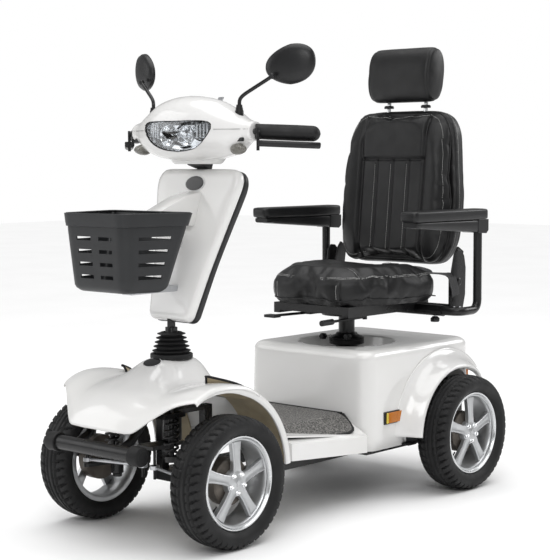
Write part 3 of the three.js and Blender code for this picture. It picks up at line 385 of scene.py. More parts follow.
def lathe_rings(profile, sides, axis="Z", place=(0, 0, 0)):
    """Rings of a turned shape; the profile is [radius, along] points and axis is X, Y or Z."""
    rings = []
    for radius, along in profile:
        ring = []
        for k in range(sides):
            a = 2 * math.pi * k / sides
            u, v = radius * math.cos(a), radius * math.sin(a)
            local = {"X": (along, u, v), "Y": (u, along, v), "Z": (u, v, along)}[axis]
            ring.append(Vector(local) + Vector(place))
        rings.append(ring)
    return rings


def turned(name, profile, material, body, axis="Z", place=(0, 0, 0), sides=48, angle=35, loop=False):
    rings = lathe_rings(profile, sides, axis, place)
    return piece(name, *skin(rings, cap=not loop, loop=loop), material, body, angle=angle)


def box_piece(name, low, high, material, body, bevel=1.5, turn=None):
    """A block with rounded edges between two corners, optionally carried by a turn function."""
    (x0, y0, z0), (x1, y1, z1) = low, high
    verts = [(x, y, z) for x in (x0, x1) for y in (y0, y1) for z in (z0, z1)]
    faces = [(0, 1, 3, 2), (4, 6, 7, 5), (0, 4, 5, 1), (2, 3, 7, 6), (0, 2, 6, 4), (1, 5, 7, 3)]
    if turn:
        verts = [turn(v) for v in verts]
    return piece(name, verts, faces, material, body, bevel=bevel)


def joined(name, objects, body):
    """Several meshes as one piece, keeping each one's material."""
    total = bmesh.new()
    materials = []
    for made in objects:
        baked = made.evaluated_get(bpy.context.evaluated_depsgraph_get())
        mesh = baked.to_mesh()
        own = list(made.data.materials)
        materials += [material for material in own if material not in materials]
        before = len(total.faces)
        total.from_mesh(mesh)
        total.faces.ensure_lookup_table()
        for face in total.faces[before:]:
            face.material_index = materials.index(own[face.material_index])
        baked.to_mesh_clear()
    mesh = bpy.data.meshes.new(name)
    total.to_mesh(mesh)
    total.free()
    for made in objects:
        bpy.data.objects.remove(made)
    for material in materials:
        mesh.materials.append(material)
    whole = bpy.data.objects.new(name, mesh)
    bpy.context.collection.objects.link(whole)
    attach(whole, body)
    return whole


def refined(node, material, body, bevel=0.8, angle=32):
    """A CAD node's own shape with rounded edges and smooth round stretches, in its place."""
    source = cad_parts[node]
    mesh = source.data.copy()
    work = bmesh.new()
    work.from_mesh(mesh)
    bmesh.ops.remove_doubles(work, verts=work.verts, dist=1e-5)
    bmesh.ops.dissolve_limit(work, angle_limit=math.radians(1), verts=work.verts, edges=work.edges)
    bmesh.ops.recalc_face_normals(work, faces=work.faces)
    work.to_mesh(mesh)
    work.free()
    mesh.materials.clear()
    mesh.materials.append(material)
    finish_mesh(mesh, angle)
    made = bpy.data.objects.new(f"{node}_shape", mesh)
    bpy.context.collection.objects.link(made)
    edge = made.modifiers.new("edges", "BEVEL")
    edge.width = bevel * MM
    edge.segments = 2
    edge.limit_method = "ANGLE"
    edge.angle_limit = math.radians(angle)
    edge.harden_normals = True
    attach(made, body)
    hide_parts(node)
    return made


def stand_for(made, slot, *nodes):
    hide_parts(*nodes)
    return made


def radial(count, start=0.0):
    return [start + 2 * math.pi * k / count for k in range(count)]


def handed(profile, out):
    """A lathe profile along X for the left side (out is 1) or mirrored for the right (-1)."""
    return [(radius, along_x * out) for radius, along_x in profile]


def squarish(value, power):
    """A sine or cosine bent toward a rounded square: the lower the power, the squarer."""
    return math.copysign(abs(value) ** power, value)


def unit(value):
    """A number held between 0 and 1."""
    return min(max(value, 0), 1)


# ---------------------------------------------------------------- wheels
PITCHES = 46                              # tread blocks round a tyre
STEPS = 8                                 # mesh steps in each block
GROOVE = 5.5
SPOKES = 5
TYRE_SECTION = [(33, 113), (37, 120), (44.5, 126), (50, 135), (51, 144), (49.5, 152), (46, 158),
                (38, 162.4), (26, 165), (12, 166.4), (0, 166.5)]


def tread_depth(across, turn):
    """Groove depth at a distance across the tread, with turn counted in blocks."""
    out = abs(across)
    if out > 50.5:
        return 0
    if 18 < out < 22 or 5 < out < 8:
        return GROOVE
    lean = turn + (0.5 if across > 0 else 0) + out * 0.022
    if out >= 22:
        return GROOVE if lean % 1 < 0.27 else 0
    if out >= 8:
        return GROOVE * 0.6 if (lean + 0.2) % 1 < 0.14 else 0
    return 0


def tyre_piece(node, body, spot, outward):
    half = spline([(x, r, 0) for x, r in TYRE_SECTION], 3)
    section = [(p.x, p.y) for p in half]
    section += [(-x, r) for x, r in reversed(section[:-1])]
    rings = []
    for step in range(PITCHES * STEPS):
        turn = step / STEPS
        angle = 2 * math.pi * turn / PITCHES
        ring = []
        for x, r in section:
            shoulder = unit((r - 144) / 10)
            depth = tread_depth(x, turn) * shoulder
            ridge = 0.7 if 121 < r < 124 or 133 < r < 134.5 else 0
            reach = r - depth
            side = x + math.copysign(ridge - depth * 0.35 * (abs(x) > 40), x)
            ring.append((spot.x + side * outward, spot.y + reach * math.cos(angle),
                         spot.z + reach * math.sin(angle)))
        rings.append(ring)
    made = piece(f"{node}_tread", *skin(rings, closed=True, loop=True), TYRE, body, angle=28)
    return stand_for(made, "tyre_rubber", node)


def spoke(angle, spot, outward):
    """One broad spoke with raised edges, from the hub to the lip."""
    stations = [(14, 16, 31, 8), (30, 14, 32, 8), (48, 12.5, 31, 7.5), (80, 14, 29.5, 7), (103, 17, 29, 7)]
    rings = []
    for reach, half, face, deep in stations:
        profile = [(-half, face - 14), (-half, face - 2), (-half + 3, face), (-half + 6, face - 1.6),
                   (0, face - 2.6), (half - 6, face - 1.6), (half - 3, face), (half, face - 2),
                   (half, face - 14), (0, face - 14 + deep * 0.4)]
        rings.append([(spot.x + along * outward,
                       spot.y + reach * math.cos(angle) - across * math.sin(angle),
                       spot.z + reach * math.sin(angle) + across * math.cos(angle))
                      for across, along in profile])
    return skin(rings)


def wheel_rim(node, body, spot, outward):
    side = node.replace("rim_", "")
    place = tuple(spot)
    profile = [(118.5, 33), (118.7, 36.5), (117, 38.3), (114.5, 38), (112.5, 35), (106, 29), (103.5, 24),
               (102, 12), (101, -30), (104, -36), (108, -38), (118.5, -38), (118.5, -33), (108, -33),
               (107, 33)]
    outside = [(r, along * outward) for r, along in profile]
    parts = [turned(f"{side}_barrel", outside, ALLOY, body, "X", place, 96, loop=True)]
    lip = [(118.9, 34), (119.2, 37), (117.2, 38.9), (114.2, 38.5), (111.8, 35), (112.8, 33)]
    parts.append(turned(f"{side}_lip", handed(lip, outward), ALLOY_POLISHED, body, "X", place, 96,
                        loop=True))
    for i, angle in enumerate(radial(SPOKES, math.pi / 2)):
        verts, faces = spoke(angle, spot, outward)
        parts.append(piece(f"{side}_spoke_{i}", verts, faces, ALLOY, body, bevel=1.0))
    hub = [(0.1, 33.5), (8, 33.5), (12, 31.5), (26, 31), (33, 29), (35, 24), (34, -12), (11, -12), (11, 20),
           (0.1, 20)]
    parts.append(turned(f"{side}_hub", handed(hub, outward), ALLOY, body, "X", place, 40))
    stand_for(joined(f"{side}_alloy", parts, body), "alloy", node)
    bolts = []
    for i, angle in enumerate(radial(SPOKES, math.pi / 2 + math.pi / SPOKES)):
        at = (spot.x, spot.y + 24 * math.cos(angle), spot.z + 24 * math.sin(angle))
        seat = [(0.1, 32), (7, 32), (7, 28), (0.1, 28)]
        bolts.append(turned(f"{side}_seat_{i}", handed(seat, outward), ALLOY_POLISHED, body, "X", at, 20))
        head = [(0.1, 38), (3.4, 38), (4.6, 37), (4.6, 31), (0.1, 31)]
        bolts.append(turned(f"{side}_bolt_{i}", handed(head, outward), CHROME, body, "X", at, 6, 20))
    joined(f"{side}_bolts", bolts, body)
    cap = []
    for angle in radial(10, math.pi / 2):
        reach = 11 if len(cap) % 2 == 0 else 6.5
        cap.append((reach * math.cos(angle), reach * math.sin(angle)))
    star = [[(spot.x + a * outward, spot.y + u * k, spot.z + v * k) for u, v in cap]
            for a, k in ((31, 1), (35, 0.85))]
    piece(f"{side}_centre_cap", *skin(star), ALLOY, body, bevel=0.7)
    stem = [(3.2, 98), (3.0, 90), (2.2, 86), (2.2, 78), (0.1, 78)]
    valve = turned(f"{side}_valve", stem, RUBBER, body, "Z", (spot.x + 14 * outward, spot.y, spot.z), 14)
    turn_about(valve, spot, 2.3)


def turn_about(made, spot, angle):
    """Turns a mesh about the wheel's axle."""
    pivot = Vector(spot) * MM
    turn = Matrix.Translation(pivot) @ Matrix.Rotation(angle, 4, "X") @ Matrix.Translation(-pivot)
    made.data.transform(turn)


def wheels():
    for hand, out in SIDES.items():
        for place in ("front", "rear"):
            body = f"wheel_{place}_{hand}"
            spot = centre(f"tyre_{place}_{hand}")
            tyre_piece(f"tyre_{place}_{hand}", body, spot, out)
            wheel_rim(f"rim_{place}_{hand}", body, spot, out)
            drum = [(0.1, 14), (30, 14), (56, 10), (60, 6), (60, -22), (54, -24), (18, -24), (11, -24),
                    (11, 14)]
            shell = turned(f"{place}_{hand}_drum", handed(drum, out),
                           DRUM, body, "X", tuple(spot), 48, loop=False)


# ---------------------------------------------------------------- front shroud
# Fore-and-aft outlines of the hood, (y, z), at distances from the middle.
HOOD = {
    0: [(-683, 296), (-664, 338), (-624, 376), (-574, 400), (-510, 432), (-474, 449), (-380, 449),
        (-362, 420), (-350, 380)],
    34: [(-683, 296), (-663, 338), (-622, 376), (-572, 399), (-512, 429), (-474, 447), (-380, 447),
         (-362, 419), (-350, 379)],
    70: [(-681, 296), (-661, 337), (-620, 374), (-570, 396), (-514, 415), (-470, 430), (-392, 432),
         (-366, 412), (-352, 377)],
    108: [(-675, 297), (-655, 336), (-614, 372), (-564, 391), (-512, 400), (-466, 402), (-410, 400),
          (-378, 390), (-354, 374)],
    130: [(-664, 310), (-645, 343), (-608, 372), (-560, 389), (-510, 396), (-462, 397), (-412, 394),
          (-380, 386), (-356, 372)],
    152: [(-648, 330), (-632, 353), (-600, 376), (-556, 392), (-508, 399), (-458, 399), (-412, 395),
          (-380, 386), (-357, 372)],
    196: [(-614, 363), (-601, 375), (-578, 389), (-546, 399), (-506, 404.5), (-456, 404), (-414, 398),
          (-381, 387), (-358, 372)],
    232: [(-588, 374), (-578, 383), (-560, 392), (-536, 400), (-504, 405), (-456, 404.5), (-414, 398),
          (-381, 387), (-357, 373)],
    243: [(-582, 374), (-572, 382), (-556, 390), (-534, 397.5), (-503, 402.5), (-456, 402), (-415, 396),
          (-382, 385), (-357.5, 371)],
    247: [(-580, 367), (-570, 375), (-554, 383), (-532, 390.5), (-502, 395), (-456, 395), (-416, 389),
          (-384, 379), (-359, 365)],
}


def hood():
    half = [[(x, y, z) for y, z in outline] for x, outline in HOOD.items()]
    right = [[(-x, y, z) for x, y, z in row] for row in reversed(half[1:])]
    rows = [spline(row, 7) for row in right + half]
    columns = [spline(list(line), 5) for line in zip(*rows)]
    made = piece("hood_panel", *skin(columns, closed=False, cap=False), WHITE, "chassis", angle=60,
                 thickness=4, offset=0)
    made.data.materials.append(BEIGE)
    made.modifiers["thickness"].material_offset = 1
    cut_hole(made, (0, -425, 440), 37, 60)
    return made


def cut_hole(made, spot, radius, depth, sides=48):
    """Removes a round hole about +Z from a piece."""
    mesh = bpy.data.meshes.new("hole")
    work = bmesh.new()
    bmesh.ops.create_cone(work, cap_ends=True, segments=sides, radius1=radius * MM, radius2=radius * MM,
                          depth=2 * depth * MM)
    work.to_mesh(mesh)
    work.free()
    tool = bpy.data.objects.new("hole", mesh)
    bpy.context.collection.objects.link(tool)
    tool.location = Vector(spot) * MM
    carve(made, [tool])


def carve(made, tools):
    """Cuts the tools out of a piece and applies its modifiers."""
    for tool in tools:
        step = made.modifiers.new("cut", "BOOLEAN")
        step.operation = "DIFFERENCE"
        step.solver = "EXACT"
        step.object = tool
    apply_modifiers(made)
    for tool in tools:
        bpy.data.objects.remove(tool)


def apply_modifiers(made):
    bpy.context.view_layer.update()
    baked = made.evaluated_get(bpy.context.evaluated_depsgraph_get())
    mesh = bpy.data.meshes.new_from_object(baked)
    made.modifiers.clear()
    made.data = mesh


def arch_rings(axle, inner, outer, x0, x1, start, end, steps, roll=3):
    """Rings of a curved fender band about an axle, with rolled long edges."""
    rings = []
    for k in range(steps + 1):
        angle = math.radians(start + (end - start) * k / steps)
        section = [(x0, inner), (x1, inner), (x1, outer - roll),
                   (x1 - math.copysign(roll * 0.3, x1), outer - roll * 0.3),
                   (x1 - math.copysign(roll, x1), outer), (x0, outer)]
        rings.append([(x, axle.y + r * math.cos(angle), axle.z + r * math.sin(angle)) for x, r in section])
    return rings


def front_shroud():
    parts = [hood()]
    for hand, out in SIDES.items():
        axle = centre(f"tyre_front_{hand}")
        shell = arch_rings(axle, 229, 235.5, out * 222, out * 247, 2.5, 88, 30, 5)
        parts.append(piece(f"fender_band_{hand}", *skin(shell), WHITE, "chassis", angle=50, bevel=1.2))
        parts.append(fender_flange(hand, out, axle))
    stand_for(joined("front_shroud_panel", parts, "chassis"), "white_panel", "front_shroud")
    for hand, out in SIDES.items():
        axle = centre(f"tyre_front_{hand}")
        lining = arch_rings(axle, 224, 227, out * 104, out * 239, 2.5, 112, 30, 1)
        made = piece(f"fender_lining_{hand}", *skin(lining), BEIGE, "chassis", angle=50)
        ear(hand, out)


def fender_flange(hand, out, axle):
    """The fender's outer lip: it grows out of the hood's edge and deepens toward the sill."""
    rings = []
    for k in range(45):
        degrees = 2.5 + 115 * k / 44
        a = math.radians(degrees)
        depth = 15 * min(max((116 - degrees) / 42, 0.06), 1)
        section = [(240.5, 230 - depth), (245.5, 230 - depth), (246.7, 231.5 - depth), (246.7, 229),
                   (245.8, 231.5), (240.5, 231.5)]
        rings.append([(out * x, axle.y + r * math.cos(a), axle.z + r * math.sin(a)) for x, r in section])
    return piece(f"fender_flange_{hand}", *skin(rings), WHITE, "chassis", angle=50)


def ear(hand, out):
    """The trimmed upper corner of the toe board, standing above the hood."""
    outline = [(out * 140, -438, 372), (out * 152, -452, 414), (out * 156, -456, 418),
               (out * 164, -444, 416),
               (out * 196, -386, 396), (out * 222, -352, 372), (out * 190, -352, 352)]
    back = [(x, y + 5, z - 2) for x, y, z in outline]
    made = piece(f"toe_board_corner_{hand}", *skin([outline, back]), BEIGE, "chassis", bevel=0.8)
    edge = tube(f"toe_board_edging_{hand}", outline[:6], 3.2,
                RUBBER, "chassis", 10, 5)


def oval_badge(name, body, place, right, up, half_wide, half_high, rise=2.0):
    """A blank oval badge: a gloss black shield with a thin bright rim."""
    right, up = Vector(right).normalized(), Vector(up).normalized()
    out = right.cross(up).normalized()
    rim, shield = [], []
    for scale, height in ((1.0, -1), (1.0, rise * 0.6), (0.97, rise * 0.8), (0.93, rise * 0.7), (0.93, -1)):
        rim.append([Vector(place) + right * half_wide * scale * math.cos(a) + up * half_high * scale
                    * math.sin(a)
                    + out * height for a in radial(40)])
    for scale, height in ((0.94, -1), (0.94, rise * 0.6), (0.8, rise * 0.9), (0.45, rise * 1.15),
                          (0.05, rise * 1.2)):
        shield.append([Vector(place) + right * half_wide * scale * math.cos(a) + up * half_high * scale
                       * math.sin(a)
                       + out * height for a in radial(40)])
    piece(f"{name}_rim", *skin(rim, cap=False, loop=True), SILVER_PRINT, body)
    piece(f"{name}_shield", *skin(shield), GLOSS_BLACK, body, angle=60)


# ---------------------------------------------------------------- floor pan and mat
def floor_and_mat():
    rear = low_high("rear_cover")[0].y - 0.5
    refined("floor_pan", WHITE, "chassis", 1.5, 30)
    axle = centre("tyre_front_left")
    side_out, deck_in, corner = 213, 140, 70
    toe = 238

    def height(x):
        return 245.5 - max(abs(x) - deck_in, 0) * 0.52

    route = [(axle.y + toe * math.cos(math.radians(a)), axle.z + toe * math.sin(math.radians(a)), 1)
             for a in range(60, 22, -4)]
    front = axle.y + toe * math.cos(math.radians(22)) + 14
    route += [(front + (rear - front) * k / 26, 0, 0) for k in range(27)]
    rings = []
    for y, z, on_toe in route:
        left = max(y - (rear - corner), 0)
        half = side_out - corner + math.sqrt(max(corner ** 2 - left ** 2, 0)) if left else side_out
        row = []
        for k in range(49):
            x = half * (2 * k / 48 - 1)
            top = z if on_toe else height(x) + 1.2
            row.append((x, y, top))
        rings.append(row)
    mat = piece("carpet_mat", *skin(rings, closed=False, cap=False), CARPET, "chassis", angle=60,
                thickness=5, offset=1)
    pile = mat.modifiers.new("fine", "SUBSURF")
    pile.levels = pile.render_levels = 2
    fuzz = bpy.data.textures.new("pile", "CLOUDS")
    fuzz.noise_scale = 0.006
    lift = mat.modifiers.new("pile", "DISPLACE")
    lift.texture = fuzz
    lift.strength = 0.0018
    stand_for(mat, "carpet", "floor_mat")
    for out in (1, -1):
        index = 48 if out > 0 else 0
        border = [ring[index] for ring in rings]
        edge = [(x, y, z + 2.5) for x, y, z in border[::2]]
        made = tube(f"mat_edging_{'left' if out > 0 else 'right'}", edge, 4.2, RUBBER, "chassis", 10, 3)
    across = [(x, rear - 3.5, height(x) + 4.5) for x in range(-140, 141, 20)]
    tube("mat_edging_rear", across, 4.0, RUBBER, "chassis", 10, 2)


# ---------------------------------------------------------------- rear cover
COVER_CORNER = 44
COVER_ROLL = 26


def rounded_ring(half, y0, y1, corner, z, count=24):
    """A rounded rectangle in plan, count points to each side and corner together."""
    points = []
    corners = [(half - corner, y1 - corner, 0), (-half + corner, y1 - corner, 90),
               (-half + corner, y0 + corner, 180), (half - corner, y0 + corner, 270)]
    for i, (cx, cy, start) in enumerate(corners):
        arc = [(cx + corner * math.cos(math.radians(start + 90 * k / 9)),
                cy + corner * math.sin(math.radians(start + 90 * k / 9))) for k in range(10)]
        nx, ny, turn = corners[(i + 1) % 4]
        after = (nx + corner * math.cos(math.radians(turn)), ny + corner * math.sin(math.radians(turn)))
        gap = count - 10
        arc += [(arc[-1][0] + (after[0] - arc[-1][0]) * k / (gap + 1),
                 arc[-1][1] + (after[1] - arc[-1][1]) * k / (gap + 1)) for k in range(1, gap + 1)]
        points += arc
    return [(x, y, z) for x, y in points]


def rear_cover():
    low, high = low_high("rear_cover")
    half = 229
    seat = centre("seat_post")
    top = high.z
    rings = []
    draft = 5
    for k in range(9):
        z = low.z + (top - COVER_ROLL - low.z) * k / 8
        pull = draft * k / 8
        rings.append(rounded_ring(half - pull, low.y + pull, high.y - pull, COVER_CORNER, z))
    for k in range(1, 8):
        a = math.pi / 2 * k / 7
        pull = draft + COVER_ROLL * (1 - math.cos(a))
        z = top - COVER_ROLL + COVER_ROLL * math.sin(a)
        rings.append(rounded_ring(half - pull, low.y + pull, high.y - pull, COVER_CORNER - pull * 0.5, z))
    last = rings[-1]
    reach = 141

    def on_circle(radius, z):
        ring = []
        for x, y, _ in last:
            a = math.atan2(y - seat.y, x - seat.x)
            ring.append((seat.x + radius * math.cos(a), seat.y + radius * math.sin(a), z))
        return ring

    mouth = on_circle(reach + 6, top)
    for k in (0.25, 0.5, 0.75):
        rings.append([tuple(a + (b - a) * k for a, b in zip(p, q)) for p, q in zip(last, mouth)])
    rings.append(mouth)
    rings.append(on_circle(reach + 2, top - 1.2))
    rings.append(on_circle(reach, top - 5))
    rings.append(on_circle(reach - 3, top - 30))
    rings.append(on_circle(reach - 8, top - 40))
    rings.append(on_circle(reach - 18, top - 43.5))
    rings.append(on_circle(34, top - 44))
    shell = piece("cover_shell", *skin(rings, cap=False), WHITE, "chassis", angle=50, thickness=4)
    carve(shell, [wheel_hole(hand, out) for hand, out in SIDES.items()])
    parts = [shell] + [flare(hand, out, half) for hand, out in SIDES.items()]
    stand_for(joined("rear_cover_panel", parts, "chassis"), "white_panel", "rear_cover")


def wheel_hole(hand, out):
    """The tool that opens the cover's side for a rear wheel."""
    spot = centre(f"tyre_rear_{hand}")
    mesh = bpy.data.meshes.new("opening")
    work = bmesh.new()
    bmesh.ops.create_cone(work, cap_ends=True, segments=72, radius1=0.187, radius2=0.187, depth=0.09)
    work.to_mesh(mesh)
    work.free()
    tool = bpy.data.objects.new("opening", mesh)
    bpy.context.collection.objects.link(tool)
    tool.rotation_euler = (0, math.pi / 2, 0)
    tool.location = (out * 0.235, spot.y * MM, spot.z * MM)
    return tool


FLARE_LIP = (288, 188)                    # the lip's distance out and radius about the axle
FLARE_REACH = 52                          # how far the bulge spreads up the cover's side
FLARE_START, FLARE_END = 44, 178          # degrees about the axle, from level at the rear
FLARE_STEPS = 60


def flare(hand, out, half):
    """The bulge over a rear wheel, blending from the cover's side to its lip."""
    spot = centre(f"tyre_rear_{hand}")
    lip_x, lip_r = FLARE_LIP
    profile = [(-4, lip_x - 12), (-3, lip_x - 5), (0, lip_x), (3, lip_x + 0.4), (6, lip_x - 3),
               (13, lip_x - 14),
               (20, lip_x - 31), (29, lip_x - 46), (39, lip_x - 56), (47, lip_x - 60.5),
               (FLARE_REACH, lip_x - 62)]
    rings = []
    for k in range(FLARE_STEPS + 1):
        degrees = FLARE_START + (FLARE_END - FLARE_START) * k / FLARE_STEPS
        a = math.radians(degrees)
        room = (high_of("rear_cover") - COVER_ROLL * 0.55 - spot.z) / max(math.sin(a), 0.2) - lip_r
        shrink = min(1.0, room / FLARE_REACH)
        ease = min(1.0, (degrees - FLARE_START) / 26)
        ring = []
        for rise, x in profile:
            drop = max(rise, 0) * shrink + min(rise, 0)
            wide = half - 8 + (x - (half - 8)) * (0.72 + 0.28 * math.sin(ease * math.pi / 2))
            r = lip_r + drop
            ring.append((out * wide, spot.y + r * math.cos(a), spot.z + r * math.sin(a)))
        rings.append(ring)
    return piece(f"flare_{hand}", *skin(rings, closed=False, cap=False), WHITE, "chassis", angle=60,
                 thickness=3.5, offset=0)


def high_of(node):
    return low_high(node)[1].z


def cover_details():
    for hand, out in SIDES.items():
        x = out * 226
        frame_box = box_piece(f"reflector_base_{hand}", (x - 3, 180, 216), (x + 4, 280, 252), BLACK,
                              "chassis", 1.5)
        face = x + out * 4.4
        for tag, y0, y1, finish in (("front", 189, 197, YELLOW), ("middle", 197.6, 236, AMBER),
                                    ("rear", 236.6, 277, AMBER)):
            glass = box_piece(f"reflector_{tag}_{hand}", (min(face, face + out * 3), y0, 219),
                              (max(face, face + out * 3), y1, 249),
                              finish, "chassis", 1.0)
    high = low_high("rear_cover")[1]
    for hand, out in SIDES.items():
        lamp = box_piece(f"tail_lamp_{hand}", (out * 165 - 42, high.y - 4, 330),
                         (out * 165 + 42, high.y + 7, 362), RED, "chassis", 4)
        signal = box_piece(f"rear_indicator_{hand}", (out * 165 - 42, high.y - 4, 292),
                           (out * 165 + 42, high.y + 7, 326), AMBER, "chassis", 4)
        flap = box_piece(f"mud_flap_{hand}", (out * 240 - 14, 262, 148), (out * 240 + 14, 300, 153), RUBBER,
                         "chassis", 1)


# ---------------------------------------------------------------- basket
SLOT_ROWS = 4


def basket():
    low, high = low_high("basket")
    floor_front, floor_rear = (99, low.y + 18), (122, high.y - 60)
    rim_front, rim_rear = (111, low.y + 0.5), (149, high.y - 0.5)
    levels = [0, 0.015, 0.04, 0.07]
    for row in range(SLOT_ROWS):
        start = 0.16 + 0.165 * row
        levels += [start, start + 0.05, start + 0.105]
    levels += [0.84, 0.845, 0.9, 0.985, 1.0]
    rings = []
    kinds = []
    for level in levels:
        blend = level
        fx = floor_front[0] + (rim_front[0] - floor_front[0]) * blend
        fy = floor_front[1] + (rim_front[1] - floor_front[1]) * blend
        rx = floor_rear[0] + (rim_rear[0] - floor_rear[0]) * blend
        ry = floor_rear[1] + (rim_rear[1] - floor_rear[1]) * blend
        pull = 10 * (1 - min(level / 0.07, 1)) ** 2
        proud = -3.0 if level < 0.842 else 0
        z = low.z + (high.z - low.z) * level
        ring, kind = basket_ring(fx + proud - pull, fy - proud + pull, rx + proud - pull, ry + proud - pull,
                                 z)
        rings.append(ring)
        kinds = kind
    verts, faces = skin(rings, cap=False)
    count = len(rings[0])
    kept = []
    for index, face in enumerate(faces):
        row, column = divmod(index, count)
        slot = levels[row] < 0.8 and row >= 3 and (row - 4) % 3 == 0
        if slot and kinds[column] and row < 4 + 3 * SLOT_ROWS:
            continue
        kept.append(face)
    kept.append(tuple(range(count))[::-1])
    made = piece("basket_shell", verts, kept, BASKET_GREY, "carrier_basket", angle=40, thickness=3.4,
                 offset=1, bevel=0.5)
    lip_path = [Vector(p) + Vector((0, 0, 0)) for p in rings[-1]] + [Vector(rings[-1][0])]
    lip = tube("basket_lip", [(p.x * 0.992, p.y + (2 if p.y < -600 else -2), p.z - 1.5) for p in lip_path],
               2.6, BASKET_GREY,
               "carrier_basket", 8, 1, cap=False)
    stand_for(made, "black_plastic", "basket")


def basket_ring(fx, fy, rx, ry, z):
    """One level of the basket in plan, and which stretches carry slots."""
    corner = 24
    points, kind = [], []

    def line(a, b, count, slots):
        for k in range(count):
            t = k / count
            points.append((a[0] + (b[0] - a[0]) * t, a[1] + (b[1] - a[1]) * t, z))
            kind.append(any(lo <= t < hi for lo, hi in slots))

    def arc(p, corner_point, q, count):
        for k in range(count):
            t = k / count
            a = Vector(p) * (1 - t) ** 2 + Vector(corner_point) * 2 * t * (1 - t) + Vector(q) * t * t
            points.append((a.x, a.y, z))
            kind.append(False)

    side = Vector((rx - fx, ry - fy)).normalized() * corner
    front = [((-fx + corner, fy), (fx - corner, fy))]
    line(*front[0], 40, [(0.1, 0.42), (0.58, 0.9)])
    arc((fx - corner, fy), (fx, fy), (fx + side.x, fy + side.y), 8)
    line((fx + side.x, fy + side.y), (rx - side.x * 0.7, ry - side.y * 0.7), 40, [(0.12, 0.82)])
    arc((rx - side.x * 0.7, ry - side.y * 0.7), (rx, ry), (rx - corner * 0.7, ry), 8)
    line((rx - corner * 0.7, ry), (-rx + corner * 0.7, ry), 40, [(0.1, 0.42), (0.58, 0.9)])
    arc((-rx + corner * 0.7, ry), (-rx, ry), (-rx + side.x * 0.7, ry - side.y * 0.7), 8)
    line((-rx + side.x * 0.7, ry - side.y * 0.7), (-fx - side.x, fy + side.y), 40, [(0.18, 0.88)])
    arc((-fx - side.x, fy + side.y), (-fx, fy), (-fx + corner, fy), 8)
    return points, kind


# ---------------------------------------------------------------- tiller
TILLER_PIVOT = (0, -425, 560)
TILLER_LEAN = 17.5


def lean(point):
    """From the upright tiller's own frame to the leaning tiller."""
    x, y, z = point
    a = math.radians(TILLER_LEAN)
    return (x, TILLER_PIVOT[1] + y * math.cos(a) + z * math.sin(a),
            TILLER_PIVOT[2] - y * math.sin(a) + z * math.cos(a))


TILLER_HALF = [(40, -12), (62, -12), (73, -2), (78, 20), (96, 120), (122, 236), (143, 326), (147.5, 352),
               (146, 372),
               (136, 388), (116, 395), (60, 396)]


def tiller_outline(margin):
    right = spline([(x, z, 0) for x, z in TILLER_HALF], 4)
    middle = Vector((0, 190, 0))
    points = []
    for p in right:
        pull = (middle - p).normalized() * margin
        points.append((p.x + pull.x * (1.0 if p.x > 1 else 0), p.y + pull.y))
    return points + [(-x, z) for x, z in reversed(points)]


def tiller_covers():
    front = []
    for margin, y in ((3, 13.5), (0.5, 12), (0, 6), (0.3, 0), (2, -6), (5.5, -10), (11, -12.2), (22, -13.5),
                      (60, -15), (110, -15.6)):
        front.append([lean((x, y, z)) for x, z in tiller_outline(margin)])
    shell = piece("tiller_face", *skin(front), WHITE, "tiller", angle=60)
    bracket = rim_arm()
    shelf = box_piece("basket_shelf", (-18, -580, 624), (18, -415, 639.3), ZINC, "tiller", 1.5)
    whole = joined("tiller_front_panel", [shell, bracket], "tiller")
    stand_for(whole, "white_panel", "tiller_cover_front")
    back = []
    for margin, y in ((2.5, 14.3), (0, 15.5), (-0.5, 20), (0, 27), (2.5, 32.5), (6, 36), (12, 37.7),
                      (60, 38.2), (110, 38.2)):
        back.append([lean((x, y, z)) for x, z in tiller_outline(margin)])
    stand_for(piece("tiller_back_panel", *skin(back), BLACK, "tiller", angle=60), "black_plastic",
              "tiller_cover_rear")
    a = math.radians(TILLER_LEAN)
    oval_badge("tiller_badge", "tiller", lean((0, -15.5, 352)), (1, 0, 0), (0, math.sin(a), math.cos(a)), 35,
               21)


def rim_arm():
    outline = [(-338, 880), (-400, 868), (-485.6, 833), (-496.6, 798), (-420, 796), (-364, 790)]
    rings = []
    for x, margin in ((-30, 4), (-28, 1), (-25, 0), (25, 0), (28, 1), (30, 4)):
        rings.append([(x, y + (margin if y < -400 else 0), z - margin * (1 if z > 830 else -1))
                      for y, z in outline])
    return piece("rim_arm", *skin(rings), WHITE, "tiller", bevel=2.5)


# ---------------------------------------------------------------- head
HEAD_SECTIONS = [(0, 77, 85, 0), (45, 76, 83, -1), (90, 72, 76, -4), (125, 63, 64, -9), (152, 53, 52, -12),
                 (175, 41, 38, -11), (196, 31, 28, -9), (210, 27, 25, -9), (216, 24, 22.5, -9)]


def head_rings():
    middle = Vector((0, -338, 1043))
    half = spline([(x, depth, height) for x, depth, height, _ in HEAD_SECTIONS], 4)
    drops = spline([(x, drop, 0) for x, _, _, drop in HEAD_SECTIONS], 4)
    sections = [(p.x, p.y, p.z, q.y) for p, q in zip(half, drops)]
    both = [(-x, d, h, drop) for x, d, h, drop in reversed(sections[1:])] + sections
    rings = []
    for x, depth, height, drop in both:
        forward = 6 * min(abs(x) / 150, 1)
        ring = []
        for a in radial(72):
            c, s = math.cos(a), math.sin(a)
            u = depth * squarish(c, 0.87)
            v = height * squarish(s, 0.87)
            y = middle.y + forward + u
            z = middle.z + drop + v
            ring.append(cap_dash(x, y, z))
        rings.append(ring)
    return rings


DASH_TILT = 35
DASH_OUT = 66


def cap_dash(x, y, z):
    """Flattens the head where the instrument panel lies."""
    a = math.radians(DASH_TILT)
    normal = Vector((0, math.sin(a), math.cos(a)))
    over = (Vector((0, y + 338, z - 1043)).dot(normal)) - DASH_OUT
    if over > 0:
        flat = Vector((x, y, z)) - normal * over
        return tuple(flat)
    return (x, y, z)


